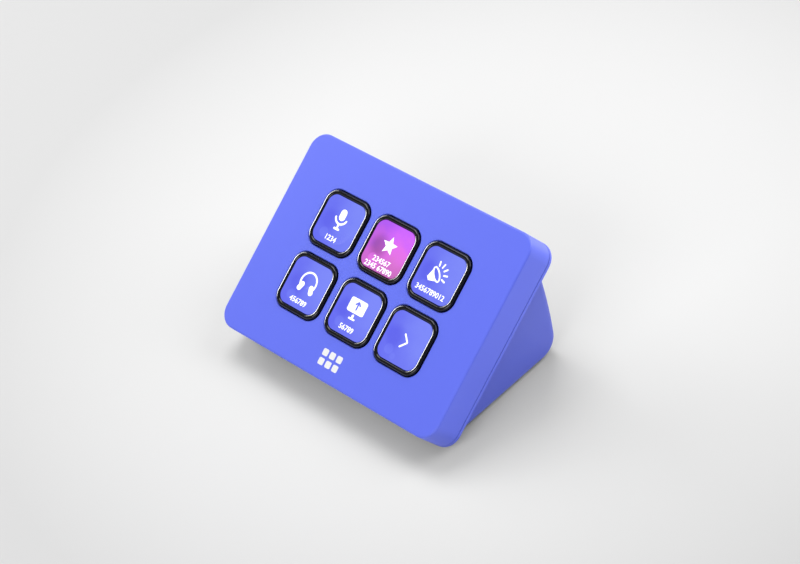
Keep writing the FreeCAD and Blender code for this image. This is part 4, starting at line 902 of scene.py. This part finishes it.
class KEYPAD_OT_key_pictures(bpy.types.Operator):
    """Lights the six clear key tops with soft colour"""

    bl_idname = "keypad.key_pictures"
    bl_label = "Key pictures"

    def execute(self, context):
        colours = context.scene.keypad_colours
        blue = [(0.0, colours.picture_deep[:]), (1.0, colours.picture_pale[:])]
        pink = [(0.1, srgb(206, 103, 192)), (0.5, srgb(214, 97, 222)), (0.85, srgb(180, 82, 246))]
        for key in KEYS:
            if key == 2:
                material = picture_material(key, pink, slant=(-0.25, 0.75), spot_shift=0.0, spot_dim=2.3)
            else:
                material = picture_material(key, blue, slant=(0.6, 0.2), spot_shift=2.2, spot_dim=0.25)
            dress(f"key_{key}_window", material)
        return {"FINISHED"}


def print_material(context):
    """The bright white of the lit prints on the keys."""
    found = bpy.data.materials.get("lit_print")
    if found:
        return found
    white = context.scene.keypad_colours.print_white
    material = grained_finish("lit_print", white, contrast=0.02, rough=(0.2, 0.3), fineness=900, bump=0.0005)
    tree = material.node_tree
    shader = tree.nodes["Principled BSDF"]
    shade = [node for node in tree.nodes if node.type == "GROUP"][0].outputs["Shade"]
    glow = colour_mix(tree, shade, low=[value * PRINT_DIM for value in white], high=white)
    tree.links.new(glow, shader.inputs["Emission Color"])
    set_sockets(shader, {"Emission Strength": PRINT_GLOW})
    return material


class KEYPAD_OT_pictograms(bpy.types.Operator):
    """Draws a plain pictogram on each key"""

    bl_idname = "keypad.pictograms"
    bl_label = "Pictograms"

    def execute(self, context):
        shapes = context.scene.keypad_shapes
        white = print_material(context)
        for key, draw in PICTOGRAMS.items():
            shape = draw()
            height = key_surface(shape[0], shapes)
            print_piece(
                f"key_{key}_pictogram", shape, key_middle(key), height, shapes, white,
                f"key_{key}",
            )
        sign = arrow()
        height = key_surface(sign[0], shapes) + shapes.print_thick / MM
        blue = bpy.data.materials["key_5_window"]
        print_piece("key_5_arrow", sign, key_middle(5), height, shapes, blue, "key_5")
        return {"FINISHED"}


class KEYPAD_OT_numbers(bpy.types.Operator):
    """Sets plain numbers below the pictograms of the first five keys"""

    bl_idname = "keypad.numbers"
    bl_label = "Numbers"

    def execute(self, context):
        shapes = context.scene.keypad_shapes
        white = print_material(context)
        for key, lines in NUMBERS.items():
            rows = []
            for digits, level in lines:
                points, faces = number_shape(digits, shapes.number_height / MM)
                rows.append((points + np.array([0, level]), faces))
            shape = joined(rows)
            height = key_surface(shape[0], shapes)
            print_piece(
                f"key_{key}_number", shape, key_middle(key), height, shapes, white,
                f"key_{key}",
            )
        return {"FINISHED"}


# the mark on the face in millimetres: half side, corner and pitch of its squares, and the level of its middle
MARK_HALF = 1.0
MARK_CORNER = 0.45
MARK_PITCH = 2.7
MARK_LEVEL = -24.3


class KEYPAD_OT_face_mark(bpy.types.Operator):
    """Prints a small keypad sign, two rows of three squares, on the face below the keys"""

    bl_idname = "keypad.face_mark"
    bl_label = "Mark on the face"

    def execute(self, context):
        paint = grained_finish(
            "white_print", (0.93, 0.93, 0.95), contrast=0.02, rough=(0.4, 0.5), fineness=2500, bump=0.001
        )
        x, y = rounded_square(np.array([MARK_HALF]), np.array([MARK_CORNER]), 6)
        outline = np.stack([x[0], y[0]], 1)
        squares = []
        for column in (-1, 0, 1):
            for row in (-0.5, 0.5):
                middle = np.array([column * MARK_PITCH, row * MARK_PITCH])
                squares.append(patch(outline + middle, middle, rings=2))
        print_piece(
            "face_mark", joined(squares), np.array([0, MARK_LEVEL]), 0, context.scene.keypad_shapes, paint,
            "housing",
        )
        return {"FINISHED"}


# the contacts of the socket: how many lie on each side, and in millimetres their pitch, their width, length
# and thickness, how far they stop short of the tongue's end, how deep they are let in, and half the tongue's
# thickness
CONTACT_COUNT = 12
CONTACT_PITCH = 0.5
CONTACT_WIDE, CONTACT_LONG, CONTACT_THICK = 0.26, 3.2, 0.03
CONTACT_SHORT = 0.3
CONTACT_LET_IN = 0.01
TONGUE_HALF = 0.35

# a box of one unit each way: its corners and its faces
BOX_CORNERS = np.array(
    [(0, 0, 0), (1, 0, 0), (1, 1, 0), (0, 1, 0), (0, 0, 1), (1, 0, 1), (1, 1, 1), (0, 1, 1)]
)
BOX_FACES = np.array([(0, 3, 2, 1), (4, 5, 6, 7), (0, 1, 5, 4), (1, 2, 6, 5), (2, 3, 7, 6), (3, 0, 4, 7)])


class KEYPAD_OT_contacts(bpy.types.Operator):
    """Lays the gilded contacts on both sides of the socket's tongue"""

    bl_idname = "keypad.contacts"
    bl_label = "Socket contacts"

    def execute(self, context):
        low, high = (np.array(corner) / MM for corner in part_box("socket_tongue"))
        middle = (low[2] + high[2]) / 2
        gold = grained_finish(
            "contact_gold", (0.83, 0.58, 0.22),
            contrast=0.05, rough=(0.15, 0.25), fineness=1500, bump=0.001, Metallic=1,
        )
        points, faces = [], []
        for side in (-1, 1):
            for index in range(CONTACT_COUNT):
                across = (index - (CONTACT_COUNT - 1) / 2) * CONTACT_PITCH
                start = np.array([across - CONTACT_WIDE / 2, high[1] - CONTACT_LONG - CONTACT_SHORT, 0])
                block = start + BOX_CORNERS * (CONTACT_WIDE, CONTACT_LONG, CONTACT_THICK)
                block[:, 2] = middle + side * (TONGUE_HALF - CONTACT_LET_IN + block[:, 2])
                turned_out = BOX_FACES if side > 0 else BOX_FACES[:, ::-1]
                faces.append(turned_out + len(BOX_CORNERS) * len(points))
                points.append(block)
        add_piece(
            "socket_contacts", np.concatenate(points) * MM, np.concatenate(faces), gold,
            "housing",
        )
        return {"FINISHED"}


# studio

# the floor in metres: half its side and the middle of the pool of light painted into its colour, and how
# bright its colour is beyond the pool
FLOOR_HALF = 3.0
POOL_MIDDLE = (0, 0.05, 0)
FLOOR_EDGE = 0.77

# the lights in metres: the point that they face, and the name, place, size and setting of each, with the
# pieces that it lights where it doesn't light them all
LIT_POINT = Vector((0, 0, 0.02))
RIMS = [f"key_{key}_rim" for key in KEYS]
LIGHTS = (
    ("left_light", (-0.17, 0.14, 0.48), (0.30, 0.30), "left_power", ()),
    ("right_light", (0.26, 0.30, 0.38), (0.36, 0.36), "right_power", ()),
    ("front_light", (0.12, -0.48, 0.34), (0.40, 0.28), "front_power", ()),
    ("side_light", (-0.55, -0.05, 0.30), (0.40, 0.40), "side_power", ()),
    ("edge_light", (-0.87, -0.12, 0.16), (0.44, 0.44), "edge_power", RIMS),
    ("corner_light", (-0.82, 0.34, 0.18), (0.34, 0.34), "corner_power", RIMS),
    ("back_light", (0.16, 0.60, 0.06), (0.30, 0.14), "back_power", ("front_shell", "rear_cover")),
)

# the camera: the nearest that it sees in metres, and its sensor in millimetres, as its focal length is
NEAR_CLIP = 0.01
SENSOR_WIDTH = 36.0


def look(azimuth, elevation, roll):
    """The camera's rotation when it looks from a side and a height and is turned about its view, and the
    direction back from its aim to itself."""
    back = Vector((
        math.cos(elevation) * math.sin(azimuth),
        -math.cos(elevation) * math.cos(azimuth),
        math.sin(elevation),
    ))
    level = Vector((math.cos(azimuth), math.sin(azimuth), 0))
    up = back.cross(level)
    right = level * math.cos(roll) + up * math.sin(roll)
    return Matrix((right, back.cross(right), back)).transposed(), back


def add_softbox(name, place, size, power, lit_pieces=()):
    """A soft lamp at a place, turned to the keypad. Where pieces are named, it lights those alone."""
    lamp = bpy.data.lights.new(name, "AREA")
    lamp.shape = "RECTANGLE"
    lamp.size, lamp.size_y = size
    lamp.energy = power
    holder = bpy.data.objects.new(name, lamp)
    holder.location = place
    holder.rotation_euler = (LIT_POINT - Vector(place)).to_track_quat("-Z", "Y").to_euler()
    bpy.context.scene.collection.objects.link(holder)
    if lit_pieces:
        lit = bpy.data.collections.new(name)
        for piece in lit_pieces:
            lit.objects.link(bpy.data.objects[piece])
        holder.light_linking.receiver_collection = lit


def floor_material(colour, reach):
    """A pale floor whose colour darkens with the square of the distance: a painted pool of light."""
    material, tree, shader, places = new_material("studio_floor")
    away = tree.nodes.new("ShaderNodeVectorMath")
    away.operation = "DISTANCE"
    tree.links.new(places, away.inputs[0])
    away.inputs[1].default_value = POOL_MIDDLE
    # painted light: the colour falls from the floor colour to its dimmer edge share with the square of the
    # distance
    share = arithmetic(tree, "DIVIDE", away.outputs["Value"], reach)
    square = arithmetic(tree, "MINIMUM", arithmetic(tree, "MULTIPLY", share, share), 1)
    edge = [value * FLOOR_EDGE for value in colour]
    tree.links.new(colour_mix(tree, square, colour, edge), shader.inputs["Base Color"])
    grain = grain_node(tree, places, fineness=60, cloud=3)
    tree.links.new(spread(tree, grain.outputs["Height"], low=0.6, high=0.7), shader.inputs["Roughness"])
    set_sockets(shader, {"Specular IOR Level": 0.2})
    return material


def lay_floor(colour, reach):
    """The floor, one square sheet on the level that the object stands on."""
    corners = [(x * FLOOR_HALF, y * FLOOR_HALF, 0) for x, y in ((-1, -1), (1, -1), (1, 1), (-1, 1))]
    mesh = bpy.data.meshes.new("floor")
    mesh.from_pydata(corners, [], [(0, 1, 2, 3)])
    floor = bpy.data.objects.new("floor", mesh)
    bpy.context.scene.collection.objects.link(floor)
    mesh.materials.append(floor_material(colour, reach))


def light_all_round(strength):
    """An even white light from every side."""
    world = bpy.data.worlds.new("even_light")
    world.use_nodes = True
    background = world.node_tree.nodes["Background"]
    background.inputs["Color"].default_value = (1, 1, 1, 1)
    background.inputs["Strength"].default_value = strength
    bpy.context.scene.world = world


def place_camera(studio):
    """The camera at its distance from the aim, looking from the photo's side."""
    camera = bpy.data.cameras.new("camera")
    camera.lens = studio.lens
    camera.sensor_width = SENSOR_WIDTH
    camera.clip_start = NEAR_CLIP
    turn, back = look(studio.azimuth, studio.elevation, studio.roll)
    holder = bpy.data.objects.new("camera", camera)
    holder.matrix_world = Matrix.Translation(Vector(studio.aim) + back * studio.distance) @ turn.to_4x4()
    bpy.context.scene.collection.objects.link(holder)
    bpy.context.scene.camera = holder


class KEYPAD_OT_stage(bpy.types.Operator):
    """Sets the pale floor, the soft lights and the camera"""

    bl_idname = "keypad.stage"
    bl_label = "Studio"

    def execute(self, context):
        studio = context.scene.keypad_studio
        lay_floor(context.scene.keypad_colours.floor, studio.pool_reach)
        for name, place, size, power, lit_pieces in LIGHTS:
            add_softbox(name, place, size, getattr(studio, power), lit_pieces)
        light_all_round(studio.sky)
        place_camera(studio)
        context.scene.view_settings.view_transform = "Standard"
        return {"FINISHED"}


STEPS = (
    KEYPAD_OT_finish_case,
    KEYPAD_OT_finish_inside,
    KEYPAD_OT_key_skirts,
    KEYPAD_OT_key_rims,
    KEYPAD_OT_key_pictures,
    KEYPAD_OT_pictograms,
    KEYPAD_OT_numbers,
    KEYPAD_OT_face_mark,
    KEYPAD_OT_contacts,
    KEYPAD_OT_stage,
)


class KEYPAD_PT_sidebar(bpy.types.Panel):
    """The keypad's steps and settings"""

    bl_idname = "KEYPAD_PT_sidebar"
    bl_label = "Picture keypad"
    bl_space_type = "VIEW_3D"
    bl_region_type = "UI"
    bl_category = "Keypad"

    def draw(self, context):
        for step in STEPS:
            self.layout.operator(step.bl_idname)
        for group in (context.scene.keypad_shapes, context.scene.keypad_colours, context.scene.keypad_studio):
            box = self.layout.box()
            for name in group.__annotations__:
                box.prop(group, name)


CLASSES = (KeypadShapes, KeypadColours, KeypadStudio, *STEPS, KEYPAD_PT_sidebar)


def register():
    for kind in CLASSES:
        bpy.utils.register_class(kind)
    bpy.types.Scene.keypad_shapes = PointerProperty(type=KeypadShapes)
    bpy.types.Scene.keypad_colours = PointerProperty(type=KeypadColours)
    bpy.types.Scene.keypad_studio = PointerProperty(type=KeypadStudio)


def unregister():
    for name in ("keypad_shapes", "keypad_colours", "keypad_studio"):
        delattr(bpy.types.Scene, name)
    for kind in reversed(CLASSES):
        bpy.utils.unregister_class(kind)


def main():
    register()
    for step in STEPS:
        group, name = step.bl_idname.split(".")
        getattr(getattr(bpy.ops, group), name)()


if __name__ == "__main__":
    main()
